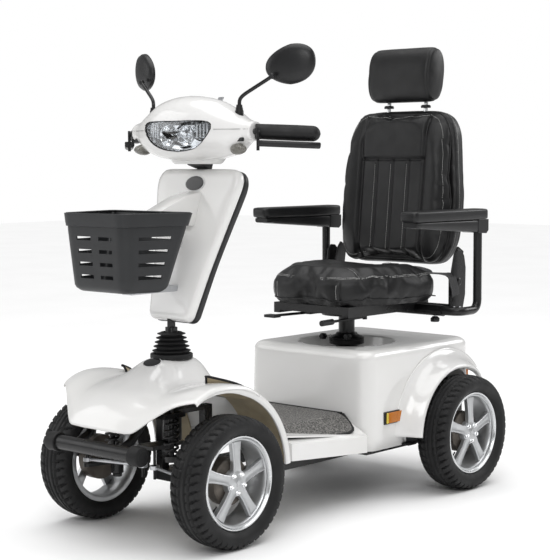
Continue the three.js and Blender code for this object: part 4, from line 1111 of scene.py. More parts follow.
def on_dash(point):
    x, y, z = point
    a = math.radians(DASH_TILT)
    cy, cz = -338 + DASH_OUT * math.sin(a), 1043 + DASH_OUT * math.cos(a)
    return (x, cy + y * math.cos(a) + z * math.sin(a), cz - y * math.sin(a) + z * math.cos(a))


# Right half of the headlight's outline seen from the front, (x, z).
LIGHT_HALF = [(0, 1062), (60, 1062.5), (100, 1061), (116, 1056), (121, 1047), (118, 1036), (106, 1019),
              (84, 1001), (52, 988), (0, 982)]


def light_outline(scale=1.0):
    half = spline([(x, z, 0) for x, z in LIGHT_HALF], 5)
    middle = 1026
    right = [(p.x * scale, middle + (p.y - middle) * scale) for p in half]
    return right + [(-x, z) for x, z in reversed(right[1:-1])]


def head_front(x, z):
    """Where the head's front surface stands, y, at a place seen from the front."""
    half = spline([(a, d, h) for a, d, h, _ in HEAD_SECTIONS], 4)
    drops = spline([(a, drop, 0) for a, _, _, drop in HEAD_SECTIONS], 4)
    near = min(range(len(half)), key=lambda k: abs(half[k].x - abs(x)))
    depth, height, drop = half[near].y, half[near].z, drops[near].y
    v = min(abs(z - 1043 - drop) / height, 0.999)
    s = v ** (1 / 0.87)
    c = math.sqrt(max(1 - s * s, 0))
    return -338 + 6 * min(abs(x) / 150, 1) - depth * c ** 0.87


def head():
    shell = piece("head_skin", *skin(head_rings()), WHITE, "tiller", angle=50)
    tool_rings = [[(x, y, z) for x, z in light_outline()] for y in (-470, -352)]
    tool = piece("light_opening", *skin(tool_rings), WHITE, "tiller")
    tool.parent = None
    tool.matrix_world = Matrix.Identity(4)
    carve(shell, [tool])
    finish_mesh(shell.data, 40)
    stand_for(shell, "white_panel", "head_cover")
    headlight()
    seam()
    for hand, out in SIDES.items():
        indicator(hand, out)
    neck()
    dashboard()


def seam():
    """The joint line between the upper and lower halves of the head."""
    for hand, out in SIDES.items():
        line = []
        for x in range(128, 213, 6):
            line.append((out * x, head_front(x, 1043 - 4) + 0.1, 1043 - 4))
        tube(f"head_seam_{hand}", line, 0.5, BLACK, "tiller", 6, 2)


def headlight():
    cover = []
    for scale, sink in ((0.995, 9), (0.99, 2.5), (0.975, 1.2), (0.9, 0.6), (0.7, 0.3), (0.4, 0.2),
                        (0.05, 0.2)):
        cover.append([(x, head_front(x, z) + sink, z) for x, z in light_outline(scale)])
    glass = piece("headlight_cover", *skin(cover, cap=False), CLEAR, "tiller", angle=60, thickness=1.6)
    stand_for(glass, "clear_lens", "headlight_lens")
    tub = []
    for scale, sink in ((0.995, 9), (0.97, 22), (0.88, 34), (0.7, 40), (0.4, 42), (0.05, 42)):
        tub.append([(x, head_front(x, z) + sink, z) for x, z in light_outline(scale)])
    piece("headlight_tub", *skin(tub, cap=False), CHROME, "tiller", angle=12)
    for name, x, z, radius in (("main_left", 34, 1024, 27), ("main_right", -34, 1024, 27)):
        front = head_front(x, z) + 11
        bowl = [(radius, 0), (radius * 0.93, 7), (radius * 0.7, 17), (radius * 0.35, 23), (0.1, 24)]
        rings = [[(x + r * math.cos(a), front + along, z + r * math.sin(a)) for a in radial(18)]
                 for r, along in bowl]
        piece(f"reflector_{name}", *skin(rings, cap=False), CHROME, "tiller", angle=8, thickness=1)
        bulb = [(0.1, 4), (4, 5.5), (6, 10), (5, 16), (5, 24), (0.1, 24)]
        turned(f"bulb_{name}", bulb, CLEAR, "tiller", "Y", (x, front, z), 16)
    for out in (1, -1):
        for k in range(4):
            x = out * (72 + 10 * k)
            z = 1034
            front = head_front(x, z) + 12
            rib = box_piece(f"light_rib_{k}_{'left' if out > 0 else 'right'}",
                            (x - 3.5, front, z - 18 + 3 * k), (x + 3.5, front + 8, z + 20),
                            ALLOY_POLISHED, "tiller", 2)
    bezel = []
    for scale, sink in ((1.005, -0.4), (0.985, -0.7), (0.975, 0.6), (0.985, 3), (1.005, 3)):
        bezel.append([(x, head_front(x, z) + sink, z) for x, z in light_outline(scale)])
    piece("headlight_bezel", *skin(bezel, loop=True), GLOSS_BLACK, "tiller", angle=50)


SLOT_X = 186
SLOT_Z = 1013


def indicator(hand, out):
    """A smoked indicator pod below the end of the head, with a slot above it."""
    rings = []
    for reach, r in ((0, 0.5), (1.5, 8), (6, 13), (14, 16), (27, 15.5), (40, 11.5), (48, 6), (51, 0.5)):
        rings.append([(out * (153 + reach), -352 - reach * 0.1 + r * 1.15 * math.cos(a),
                       989 + r * 0.92 * math.sin(a))
                      for a in radial(24)])
    pod = piece(f"indicator_{hand}", *skin(rings), SMOKED, "tiller", angle=60)
    slot_low = (out * SLOT_X - 12, head_front(SLOT_X, SLOT_Z) - 1.2, SLOT_Z - 5)
    slot_high = (out * SLOT_X + 12, head_front(SLOT_X, SLOT_Z) + 6, SLOT_Z + 5)
    box_piece(f"head_slot_{hand}", slot_low, slot_high, GLOSS_BLACK, "tiller", 1.2)


def neck():
    rings = []
    for z, half, y0, y1 in ((951, 74, -346, -300), (955, 80, -350, -296), (970, 92, -356, -290),
                            (992, 104, -366, -284)):
        rings.append([(half * squarish(math.cos(a), 0.5),
                       (y0 + y1) / 2 + (y1 - y0) / 2 * squarish(math.sin(a), 0.5), z)
                      for a in radial(40)])
    piece("head_neck", *skin(rings), WHITE, "tiller", bevel=2)
    clamp = [(-30, -30, 398), (22, 4, 424)]
    box_piece("neck_clamp", clamp[0], clamp[1], BLACK, "tiller", 2.5, turn=lean)
    for x in (-12, 12):
        screw = turned(f"clamp_screw_{'a' if x < 0 else 'b'}",
                       [(0.1, 3), (4, 3), (4.6, 2), (4.6, -2), (0.1, -2)], CHROME,
                       "tiller", "Z", (0, 0, 0), 6, 20)
        a = math.radians(90 + TILLER_LEAN)
        spot = Vector(lean((x, -15, 412))) * MM
        screw.data.transform(Matrix.Translation(spot) @ Matrix.Rotation(a, 4, "X"))


def dashboard():
    plate = box_piece("dash_plate", (-76, -27, 0.3), (76, 27, 4), BLACK, "tiller", 1.6, turn=on_dash)
    stand_for(plate, "black_plastic", "dash_panel")
    window = box_piece("charge_window", (-66, -16, 3.6), (-26, 14, 5), GLOSS_BLACK, "tiller", 0.8,
                       turn=on_dash)
    for k, finish in enumerate((RED, AMBER, YELLOW, CLEAR, CLEAR)):
        bar = box_piece(f"charge_bar_{k}", (-62 + 7 * k, -8, 4.8), (-57.5 + 7 * k, 6, 5.6), finish, "tiller",
                        0.3, turn=on_dash)
    for k in range(4):
        x = 24 + 13 * k
        button = box_piece(f"dash_button_{k}", (x - 5, -24, 3.6), (x + 5, -16, 6.2), BASKET_GREY, "tiller",
                           1, turn=on_dash)
    knob = [(0.1, 4.3), (15.8, 4.3), (15.8, 8)]
    knob += [(15, 9), (14.2, 16), (13, 17.3), (0.1, 17.3)]
    rings = []
    for r, z in knob:
        ring = []
        for k, a in enumerate(radial(64)):
            flute = 0.7 if (k % 8 < 4 and 14 < r < 15.5) else 0
            ring.append(on_dash(((r - flute) * math.cos(a), -4 + (r - flute) * math.sin(a), z)))
        rings.append(ring)
    stand_for(piece("speed_knob_cap", *skin(rings), BLACK, "speed_knob", angle=40), "black_plastic",
              "speed_dial")
    mark = box_piece("knob_mark", (-0.8, 2, 17.0), (0.8, 9.5, 17.7), SILVER_PRINT, "speed_knob", 0.2,
                     turn=on_dash)
    for k in range(9):
        a = math.radians(-120 + 30 * k + 90)
        x, y = 20.5 * math.cos(a), -4 + 20.5 * math.sin(a)
        size = 0.5 + 0.06 * k
        tick = box_piece(f"dial_tick_{k}", (x - size, y - size, 3.8), (x + size, y + size, 4.5),
                         SILVER_PRINT, "tiller", 0.1, turn=on_dash)
    refined("ignition_key", ZINC, "key", 0.5)


# ---------------------------------------------------------------- mirrors, grips and levers
def mirrors():
    for hand, out in SIDES.items():
        ball = Vector((out * 240, -297, 1172))
        yaw = out * math.radians(24)

        def place(u, depth, v):
            local = Vector((out * (u + 40), depth, v + 30))
            local.rotate(Matrix.Rotation(yaw, 3, "Z"))
            return tuple(ball + local)

        def dish(scale, depth, count=56):
            ring = []
            for a in radial(count):
                c, s = math.cos(a), math.sin(a)
                u = 66 * squarish(c, 0.87)
                v = 51 * squarish(s, 0.87)
                taper = 1 - 0.26 * max(-u / 66, 0)
                ring.append(place(u * scale, depth, (v * taper + 0.11 * u) * scale))
            return ring

        shell = [dish(0.12, 8.7), dish(0.45, 9.5), dish(0.72, 12.5), dish(0.9, 17), dish(0.985, 23),
                 dish(1.0, 28),
                 dish(0.985, 31.5), dish(0.95, 32), dish(0.94, 29.5), dish(0.5, 29.5), dish(0.05, 29.5)]
        stand_for(piece(f"mirror_shell_{hand}", *skin(shell), BLACK, f"mirror_{hand}", angle=60),
                  "black_plastic", f"mirror_head_{hand}")
        glass = [dish(0.938, 29), dish(0.938, 30.6), dish(0.92, 31.2), dish(0.5, 31.4), dish(0.05, 31.4)]
        piece(f"mirror_glass_{hand}", *skin(glass), MIRROR, f"mirror_{hand}", angle=60)
        base = Vector((out * 158, -331, 1071.3))
        boot = [(0.1, 0), (11, 0), (11, 4), (10.2, 5), (11, 6), (11, 14), (9.4, 17), (9.6, 20), (8.2, 24),
                (7.6, 30), (0.1, 30)]
        parts = [turned(f"mirror_boot_{hand}", boot, RUBBER, f"mirror_stalk_{hand}", "Z", tuple(base), 28)]
        route = [base + Vector((0, 0, 26)), base + Vector((out * 1, 1, 42)),
                 base + Vector((out * 10, 5, 54)), base + Vector((out * 34, 15, 70)),
                 ball - Vector((out * 12, 4, 8)), ball]
        parts.append(tube(f"mirror_rod_{hand}", route, 4.8, STEEL, f"mirror_stalk_{hand}", 16, 6))
        knob = [(8 * math.sin(a), -8 * math.cos(a)) for a in (math.pi * k / 12 for k in range(13))]
        knob[0], knob[-1] = (0.1, -8), (0.1, 8)
        parts.append(turned(f"mirror_ball_{hand}", knob, BLACK, f"mirror_stalk_{hand}", "Z", tuple(ball), 24,
                            60))
        stand_for(joined(f"mirror_stem_{hand}", parts, f"mirror_stalk_{hand}"), "black_plastic",
                  f"mirror_arm_{hand}")


BAR_INNER = Vector((214, -335, 1033))
BAR_OUTER = Vector((338, -227, 1026))


def beside_bar(out, along, ahead, above):
    """A place beside a handlebar end: along the bar, ahead of it and above it."""
    d = (BAR_OUTER - BAR_INNER).normalized()
    spot = BAR_INNER + d * along + Vector((d.y, -d.x, 0)) * ahead + Vector((0, 0, above))
    return (spot.x * out, spot.y, spot.z)


def around_bar(out, profile, sides=40):
    """Rings about a handlebar end's sloping axis, from [radius, along] points."""
    start = Vector(beside_bar(out, 0, 0, 0))
    axis = (Vector(beside_bar(out, 1, 0, 0)) - start).normalized()
    side = axis.cross(Vector((0, 0, 1))).normalized()
    up = side.cross(axis).normalized()
    return [[start + axis * along + (side * math.cos(a) + up * math.sin(a)) * r for a in radial(sides)]
            for r, along in profile]


def grips():
    """Soft hand grips with round ends; each has a thumb lever close under it."""
    for hand, out in SIDES.items():
        profile = [(9.9, 2), (18.6, 2), (19.4, 3), (19.4, 6), (18.9, 7), (19.4, 8), (20, 60), (20.2, 110),
                   (19.8, 146)]
        profile += [(19.8 * math.cos(a), 146 + 20 * math.sin(a))
                    for a in (math.pi / 2 * k / 8 for k in range(1, 8))]
        profile += [(0.1, 166.4)]
        made = piece(f"hand_grip_{hand}", *skin(around_bar(out, profile), cap=True), RUBBER, "tiller",
                     angle=50)
        stand_for(made, "soft_rubber", f"grip_{hand}")
        throttle(hand, out)


LEVER_TOP = -21.4                         # under the grip's own axis
LEVER_FOOT = -37.5


def throttle(hand, out):
    """The lever: a curved fin under the grip, on an eye about its pin."""
    outline = [(0, 15), (10, 12), (28, 11), (70, 12), (120, 12), (150, 9), (158, 2), (156, -6), (146, -11),
               (110, -13),
               (60, -12), (24, -10), (8, -12), (0, -12)]
    middle = 22
    rings = []
    for above, margin in ((LEVER_TOP, 3), (LEVER_TOP - 1.2, 1), (LEVER_TOP - 3, 0), (LEVER_FOOT + 5, 0.5),
                          (LEVER_FOOT + 1.5, 2),
                          (LEVER_FOOT, 5)):
        ring = []
        for along, ahead in outline:
            pull = min(margin, abs(ahead))
            ring.append(beside_bar(out, 9 + along * (1 - margin / 160),
                                   middle + ahead - math.copysign(pull, ahead), above))
        rings.append(ring)
    made = piece(f"thumb_lever_{hand}", *skin(rings), BLACK, f"throttle_{hand}", angle=50, bevel=1)
    stand_for(made, "black_plastic", f"throttle_lever_{hand}")


# ---------------------------------------------------------------- bumper, bellows and springs
def bumper_bar():
    low, high = low_high("bumper_bar")
    spot = centre("bumper_bar")
    half = (high.x - low.x) / 2
    parts = [turned("bumper_tube", [(0.1, -half + 4), (18.5, -half + 4), (18.5, half - 4), (0.1, half - 4)],
                    STEEL,
                    "chassis", "X", tuple(spot), 48)]
    for out in (1, -1):
        cap = [(0.1, half), (19, half), (23.2, half - 1.6), (24.5, half - 5), (24.5, half - 34),
               (23, half - 36),
               (18.7, half - 36.5), (18.7, half - 12), (0.1, half - 12)]
        parts.append(turned(f"bumper_cap_{out + 1}", handed(cap, out), RUBBER, "chassis", "X", tuple(spot),
                            48))
        ring = [(14, half + 0.2), (15, half + 0.7), (16, half + 0.2), (15.5, half - 1), (14.5, half - 1)]
        parts.append(turned(f"bumper_ring_{out + 1}", handed(ring, out), RUBBER, "chassis", "X", tuple(spot),
                            40, loop=True))
    stand_for(joined("front_bumper", parts, "chassis"), "black_plastic", "bumper_bar")


def bellows():
    place = (0, -425, 0)
    base = low_high("stem_bellows")[0].z
    profile = [(34, base), (55, base), (55.5, base + 2), (55.5, base + 10), (54, base + 12),
               (50, base + 12.6)]
    for k in range(5):
        z = base + 13 + 11 * k
        r = 50 - 3.3 * k
        profile += [(r - 9, z + 1), (r - 9, z + 2.4), (r, z + 5.5), (r, z + 7), (r - 9.5, z + 10.2)]
    profile += [(27, base + 68), (22, base + 68), (22, base + 62), (30, base + 8)]
    made = turned("stem_boot", profile, RUBBER, "steering_column", "Z", place, 64, 28, loop=True)
    stand_for(made, "soft_rubber", "stem_bellows")


def springs():
    for hand in SIDES:
        low, high = low_high(f"front_spring_{hand}")
        spot = centre(f"front_spring_{hand}")
        wire, turns = 3.6, 5.5
        route = []
        for k in range(int(turns * 20) + 1):
            a = 2 * math.pi * k / 20
            rise = low.z + wire + (high.z - low.z - 2 * wire) * k / (turns * 20)
            route.append((spot.x + 16.4 * math.cos(a), spot.y + 16.4 * math.sin(a), rise))
        coil = tube(f"strut_coil_{hand}", route, wire, STEEL, "chassis", 10, 1)
        stand_for(coil, "black_steel", f"front_spring_{hand}")
        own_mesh(coil)


def running_gear():
    refined("chassis_frame", STEEL, "chassis", 1.0)
    refined("steering_stem", STEEL, "steering_column", 0.8)
    refined("tiller_column", STEEL, "tiller", 0.8)
    refined("transaxle", ZINC, "chassis", 1.5)
    refined("controller_box", BLACK, "chassis", 2)
    refined("seat_socket", STEEL, "chassis", 1)
    refined("tilt_lever", BLACK, "tilt_handle", 1.5)
    for hand in SIDES:
        refined(f"upright_{hand}", STEEL, f"suspension_{hand}", 1)
        refined(f"knuckle_{hand}", STEEL, f"steer_{hand}", 1)
        refined(f"tie_rod_{hand}", ZINC, f"track_rod_{hand}", 0.8)
        refined(f"battery_{hand}", BATTERY_GREY, "chassis", 3)
        low, high = low_high(f"battery_{hand}")
        strap = box_piece(f"battery_strap_{hand}", (low.x - 1, 240, low.z + 1),
                          (high.x + 1, 262, high.z - 7.5), WEBBING, "chassis", 1)


# ---------------------------------------------------------------- soft parts
FRAMES = 20


def inflate(made, cap, voxel=6, pressure=4.0):
    """Swells a closed pad with cloth under pressure; no point moves further than the cap, in millimetres."""
    even = made.modifiers.new("even", "REMESH")
    even.mode = "VOXEL"
    even.voxel_size = voxel * MM
    even.use_smooth_shade = True
    apply_modifiers(made)
    rest = [v.co.copy() for v in made.data.vertices]
    cloth = made.modifiers.new("air", "CLOTH")
    cloth.settings.quality = 4
    cloth.settings.mass = 0.3
    cloth.settings.use_pressure = True
    cloth.settings.uniform_pressure_force = pressure
    cloth.settings.effector_weights.gravity = 0
    cloth.settings.tension_stiffness = 12
    cloth.settings.compression_stiffness = 12
    cloth.settings.bending_stiffness = 0.6
    cloth.point_cache.frame_end = FRAMES
    scene = bpy.context.scene
    for step in range(1, FRAMES + 1):
        scene.frame_set(step)
    baked = made.evaluated_get(bpy.context.evaluated_depsgraph_get())
    moved = [v.co.copy() for v in baked.data.vertices]
    made.modifiers.remove(cloth)
    scene.frame_set(1)
    for vertex, start, end in zip(made.data.vertices, rest, moved):
        step = end - start
        if step.length > cap * MM:
            step = step.normalized() * cap * MM
        vertex.co = start + step
    soften(made.data, 4)
    return made


def soften(mesh, rounds, factor=0.5):
    work = bmesh.new()
    work.from_mesh(mesh)
    for _ in range(rounds):
        bmesh.ops.smooth_vert(work, verts=work.verts, factor=factor, use_axis_x=True, use_axis_y=True,
                              use_axis_z=True)
    work.to_mesh(mesh)
    work.free()


def refine_mesh(made):
    step = made.modifiers.new("fine", "SUBSURF")
    step.levels = step.render_levels = 1
    apply_modifiers(made)
    made.data.shade_smooth()


def press(made, shape):
    """Moves each vertex along its normal by shape(x, y, z), in millimetres."""
    mesh = made.data
    moves = [shape(*(v.co / MM)) for v in mesh.vertices]
    normals = [v.normal.copy() for v in mesh.vertices]
    for vertex, normal, move in zip(mesh.vertices, normals, moves):
        vertex.co += normal * move * MM


def dip(distance, width):
    return math.exp(-(distance / width) ** 2)


def surface_of(made):
    return BVHTree.FromObject(made, bpy.context.evaluated_depsgraph_get())


def snapped(points, surface, rise):
    """Points brought onto a surface, standing a little proud of it."""
    out = []
    for p in points:
        spot, normal, _, _ = surface.find_nearest(Vector(p) * MM)
        out.append((spot + normal * rise * MM) / MM)
    return out


def along(points, pitch):
    """Places evenly spaced along a line of points."""
    line = [Vector(p) for p in points]
    out, carried = [], 0.0
    for a, b in zip(line, line[1:]):
        length = (b - a).length
        while carried <= length:
            out.append(a + (b - a) * (carried / max(length, 1e-6)))
            carried += pitch
        carried -= length
    return out


def stitches(name, points, surface, body, pitch=5.5, length=3.6, radius=0.55):
    """A row of separate thread stitches lying on a surface."""
    places = snapped(along(points, pitch / 2), surface, radius * 0.3)
    verts, faces = [], []
    for a, b in zip(places[0::2], places[1::2]):
        run = b - a
        if run.length < 0.5:
            continue
        run = run.normalized()
        middle = (a + b) / 2
        side = run.orthogonal().normalized()
        up = run.cross(side)
        base = len(verts)
        for reach, r in ((-0.5, 0.35), (-0.36, 0.9), (0.36, 0.9), (0.5, 0.35)):
            for k in radial(6):
                verts.append(middle + run * length * reach + (side * math.cos(k) + up * math.sin(k))
                             * radius * r)
        for ring in range(3):
            for k in range(6):
                p = base + ring * 6
                faces.append((p + k, p + (k + 1) % 6, p + 6 + (k + 1) % 6, p + 6 + k))
        faces.append(tuple(base + k for k in range(6))[::-1])
        faces.append(tuple(base + 18 + k for k in range(6)))
    piece(name, verts, faces, THREAD, body, angle=60)


def piping(name, points, surface, body, radius=2.0, closed=False):
    path = snapped(points, surface, radius * 0.3)
    if closed:
        path.append(path[0])
    tube(name, path, radius, LEATHER, body, 10, 2)


SEAT_HALF = [(60, 86), (100, 90), (134, 102), (166, 132), (192, 178), (214, 234), (230, 300), (234, 370),
             (228, 430), (212, 466), (180, 474)]


SEAT_MIDDLE = 284                         # fore-and-aft middle of the cushion


def seat_outline(scale, z, count=6):
    half = spline([(x, y, 0) for x, y in SEAT_HALF], count)
    right = [(p.x * scale, SEAT_MIDDLE + (p.y - SEAT_MIDDLE) * scale, z) for p in half]
    return right + [(-x, y, z) for x, y, z in reversed(right)]


def seat_cushion():
    low, high = low_high("seat_cushion")
    tall = high.z - low.z
    rings = [seat_outline(s, low.z + tall * h) for s, h in
             ((0.90, 0.04), (0.955, 0.10), (0.975, 0.3), (0.975, 0.62), (0.955, 0.76), (0.90, 0.86),
              (0.80, 0.90))]
    made = piece("cushion_pad", *skin(rings), LEATHER, "seat", angle=80)
    inflate(made, 24)
    refine_mesh(made)
    floor_z = low.z + 0.4

    def rim_line(x, y):
        """How far a place in plan lies inside the cushion's edge, roughly, in millimetres."""
        reach = math.hypot(x, y - SEAT_MIDDLE)
        a = math.atan2(y - SEAT_MIDDLE, abs(x))
        edge = min(edge_points, key=lambda p: abs(p[0] - a))
        return edge[1] - reach

    outline = seat_outline(1.0, 0, 8)
    edge_points = [(math.atan2(y - SEAT_MIDDLE, abs(x)), math.hypot(x, y - SEAT_MIDDLE))
                   for x, y, _ in outline[:len(outline) // 2]]

    def shape(x, y, z):
        inside = rim_line(x, y)
        top = unit((z - (high.z - 34)) / 16)
        move = -2.6 * dip(inside - 21, 3.2) * top
        hollow = max(0, 1 - (x / 150) ** 2) * max(0, 1 - ((y - 330) / 170) ** 2)
        move -= 9 * hollow * top
        move -= 2.4 * dip(y - 176, 3.2) * top * (inside > 21)
        side = unit((high.z - 20 - z) / 14)
        move -= 2.6 * dip(abs(x) - 118, 3.0) * side * (y < 150)
        return move

    press(made, shape)
    for vertex in made.data.vertices:
        vertex.co.z = max(vertex.co.z, floor_z * MM)
    stand_for(made, "leatherette", "seat_cushion")
    surface = surface_of(made)
    for row, margin in (("inner", 19.5), ("outer", 10.5)):
        scale = 1 - margin / 235
        loop = seat_outline(scale, high.z + 2, 8)
        stitches(f"seat_stitch_{row}", loop, surface, "seat")
    stitches("seat_stitch_front", [(x, 172, high.z + 4) for x in range(-170, 171, 10)], surface, "seat")
    for out in (1, -1):
        hand = "left" if out > 0 else "right"
        lower = [(out * 121, 80, z) for z in range(int(low.z) + 12, int(high.z) - 18, 6)]
        stitches(f"seat_stitch_corner_{hand}", lower, surface, "seat")
    base = [(x, y, low.z + 6) for x, y, _ in seat_outline(1.0, 0, 4)]
    piping("seat_lower_piping", base, surface, "seat", 1.8, closed=True)


BACK_PIVOT = (0, 520, 600)
BACK_LEAN = 6
BACK_HALF = [(96, 40), (140, 42), (170, 50), (194, 76), (212, 124), (221, 230), (211, 330), (198, 430),
             (186, 470), (164, 500), (130, 514), (70, 519), (0, 520)]
CENTRE_HALF = 118
UPPER_PAD = 360                           # where the plain upper pad begins
BACK_MIDDLE = 285                         # half way up the backrest
CHANNELS = (-60, 0, 60)                   # sewn channels of the backrest


def reclined(point):
    x, y, z = point
    a = math.radians(BACK_LEAN)
    return (x, BACK_PIVOT[1] + y * math.cos(a) + z * math.sin(a),
            BACK_PIVOT[2] - y * math.sin(a) + z * math.cos(a))


def upright(x, y, z):
    """The reverse of reclined: from the leaning backrest to its own upright frame."""
    a = math.radians(BACK_LEAN)
    dy, dz = y - BACK_PIVOT[1], z - BACK_PIVOT[2]
    return x, dy * math.cos(a) - dz * math.sin(a), dy * math.sin(a) + dz * math.cos(a)


def back_outline(margin, count=5):
    half = spline([(x, z, 0) for x, z in BACK_HALF], count)
    points = []
    for p in half:
        out = Vector((p.x, (p.y - BACK_MIDDLE) * 0.9)).normalized()
        points.append((max(p.x - out.x * margin, 0), p.y - out.y * margin))
    return points + [(-x, z) for x, z in reversed(points) if x > 0]


def backrest():
    rings = []
    for margin, y in ((14, 3), (7, 1), (5, -4), (5, -10), (9, -15), (18, -18), (34, -19.5)):
        rings.append([reclined((x, y, z)) for x, z in back_outline(margin)])
    pad = piece("backrest_pad", *skin(rings), LEATHER, "backrest", angle=80)
    inflate(pad, 26, 5)
    refine_mesh(pad)

    def shape(px, py, pz):
        x, y, z = upright(px, py, pz)
        front = unit((-y - 2) / 14)
        side = abs(x)
        centre_part = side < CENTRE_HALF
        move = -9 * dip(side - CENTRE_HALF, 6) * (z < 492)
        move += 9 * math.sin(unit((side - CENTRE_HALF) / 80) * math.pi) * unit((470 - z) / 60)
        if centre_part:
            move -= 6 * dip(z - UPPER_PAD, 5)
            if z < UPPER_PAD:
                move -= 5
                for line in CHANNELS:
                    move -= 4.5 * dip(x - line, 5.5)
            else:
                move += 3 * math.sin(unit((z - UPPER_PAD) / 125) * math.pi)
        return move * front

    press(pad, shape)
    for vertex in pad.data.vertices:
        x, y, z = upright(*(vertex.co / MM))
        if y > 1.2:
            vertex.co = Vector(reclined((x, 1.2, z))) * MM
    stand_for(pad, "leatherette", "backrest_cushion")
    surface = surface_of(pad)
    for k, x in enumerate(CHANNELS):
        stitches(f"back_stitch_{k}", [reclined((x - 2.5, -60, z)) for z in range(76, UPPER_PAD - 6, 8)],
                 surface, "backrest")
    ring = [reclined((x, -40, z)) for x, z in back_outline(17)]
    stitches("back_stitch_border", ring, surface, "backrest")
    edge = [reclined((x, -4, z)) for x, z in back_outline(2)]
    piping("back_piping", edge, surface, "backrest", 2.4, closed=True)
    back_shell()
    headrest()


def back_shell():
    rings = []
    for margin, y in ((8, 2.2), (2, 4), (0, 9), (0, 30), (2, 44), (8, 54), (20, 60), (44, 63), (90, 64),
                      (150, 64)):
        rings.append([reclined((x, y, z)) for x, z in back_outline(margin)])
    shell = piece("backrest_back", *skin(rings), LEATHER, "backrest", angle=70)
    inflate(shell, 8, 6)
    refine_mesh(shell)

    def shape(px, py, pz):
        y = upright(px, py, pz)[1]
        return -2.2 * dip(y - 40, 2.6) * (y < 50)

    press(shell, shape)
    for vertex in shell.data.vertices:
        x, y, z = upright(*(vertex.co / MM))
        if y < 2.4:
            vertex.co = Vector(reclined((x, 2.4, z))) * MM
    brackets = []
    for hand, out in SIDES.items():
        x0, x1 = sorted((out * 221, out * 228))
        outline = [(-14, -14), (10, -18), (30, -8), (34, 30), (38, 92), (10, 104), (-6, 80), (-14, 30)]
        plate = [[reclined((x, y, z)) for y, z in outline] for x in (x0, x1)]
        brackets.append(piece(f"recliner_arm_{hand}", *skin(plate), STEEL, "backrest", bevel=2))
    arms = joined("recliner_arms", brackets, "backrest")
    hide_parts("backrest_shell")
    surface = surface_of(shell)
    stitches("back_side_stitch", [reclined((x, 20, z)) for x, z in back_outline(-2)], surface, "backrest")


def headrest():
    rings = []
    stations = ((-118, 0.82), (-114, 0.92), (-100, 0.965), (-60, 0.975), (60, 0.975), (100, 0.965),
                (114, 0.92), (118, 0.82))
    for x, scale in stations:
        ring = []
        for a in radial(48):
            c, s = math.cos(a), math.sin(a)
            u = 46 * scale * squarish(c, 0.95)
            v = 86 * scale * squarish(s, 0.78)
            ring.append(reclined((x, u - 4, v + 618)))
        rings.append(ring)
    pad = piece("headrest_pad", *skin(rings), LEATHER, "head_support", angle=80)
    inflate(pad, 10, 5)
    refine_mesh(pad)
    press(pad, lambda x, y, z: -2.4 * dip(abs(x) - 108, 2.6))
    posts = []
    for hand, out in SIDES.items():
        path = [reclined((out * 70, 15, z)) for z in (395, 450, 500, 560)]
        posts.append(tube(f"headrest_post_{hand}", path, 6, CHROME, "head_support", 20, 3))
        collar_at = reclined((out * 70, 15, 520))
        collar = turned(f"headrest_collar_{hand}", [(6.4, 0), (15, 0), (15, 6), (12, 9), (6.4, 9)], BLACK,
                        "backrest", "Z", collar_at, 28, loop=True)
    bars = joined("headrest_posts", posts, "head_support")
    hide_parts("headrest")


# ---------------------------------------------------------------- armrests and seat hardware
def armrests():
    for hand, out in SIDES.items():
        low, high = low_high(f"arm_pad_{hand}")
        middle = out * 280

        def section(y, half, z0, z1, power=0.35, count=28):
            ring = []
            for a in radial(count):
                c, s = math.cos(a), math.sin(a)
                ring.append((middle + half * squarish(c, power), y,
                             (z0 + z1) / 2 + (z1 - z0) / 2 * squarish(s, power)))
            return ring

        pad = [section(low.y, 14, 794, 806, 0.8), section(low.y + 1.5, 22, 789, 811, 0.6),
               section(low.y + 7, 27.5, 786, 815),
               section(low.y + 18, 29.5, 784, 816), section(high.y - 60, 29.5, 783, 816),
               section(high.y - 16, 29, 783, 816),
               section(high.y - 4, 28, 784, 815), section(high.y - 1, 25, 786, 812)]
        top = piece(f"armrest_pad_{hand}", *skin(pad), BLACK, f"armrest_{hand}", angle=60)
        casing = [section(low.y + 12, 24, 771, 785, 0.5), section(low.y + 16, 26, 769.5, 785, 0.4),
                  section(low.y + 40, 27, 769, 785),
                  section(low.y + 46, 27, 767, 785), section(high.y - 70, 28, 748, 785),
                  section(high.y - 53, 28, 746, 785)]
        under = piece(f"armrest_casing_{hand}", *skin(casing), BLACK, f"armrest_{hand}", angle=50, bevel=0.8)
        cheeks = []
        for tag, a, b in (("inner", 251, 274), ("outer", 306, 309)):
            x0, x1 = sorted((out * a, out * b))
            outline = [(524, 746), (566, 743), (577, 752), (577, 785), (524, 785)]
            cheeks.append(piece(f"cheek_{tag}", *skin([[(x, y, z) for y, z in outline] for x in (x0, x1)]),
                                BLACK, f"armrest_{hand}", bevel=1.2))
        pin_low, pin_high = sorted((out * 272, out * 308))
        cheeks.append(turned("arm_pin", [(0.1, pin_low), (5, pin_low), (5, pin_high), (0.1, pin_high)], ZINC,
                             f"armrest_{hand}", "X", (0, 548, 770), 20))
        body_piece = joined(f"armrest_body_{hand}", [under] + cheeks, f"armrest_{hand}")
        stand_for(top, "black_plastic", f"arm_pad_{hand}")
        arm_tube(hand, out)


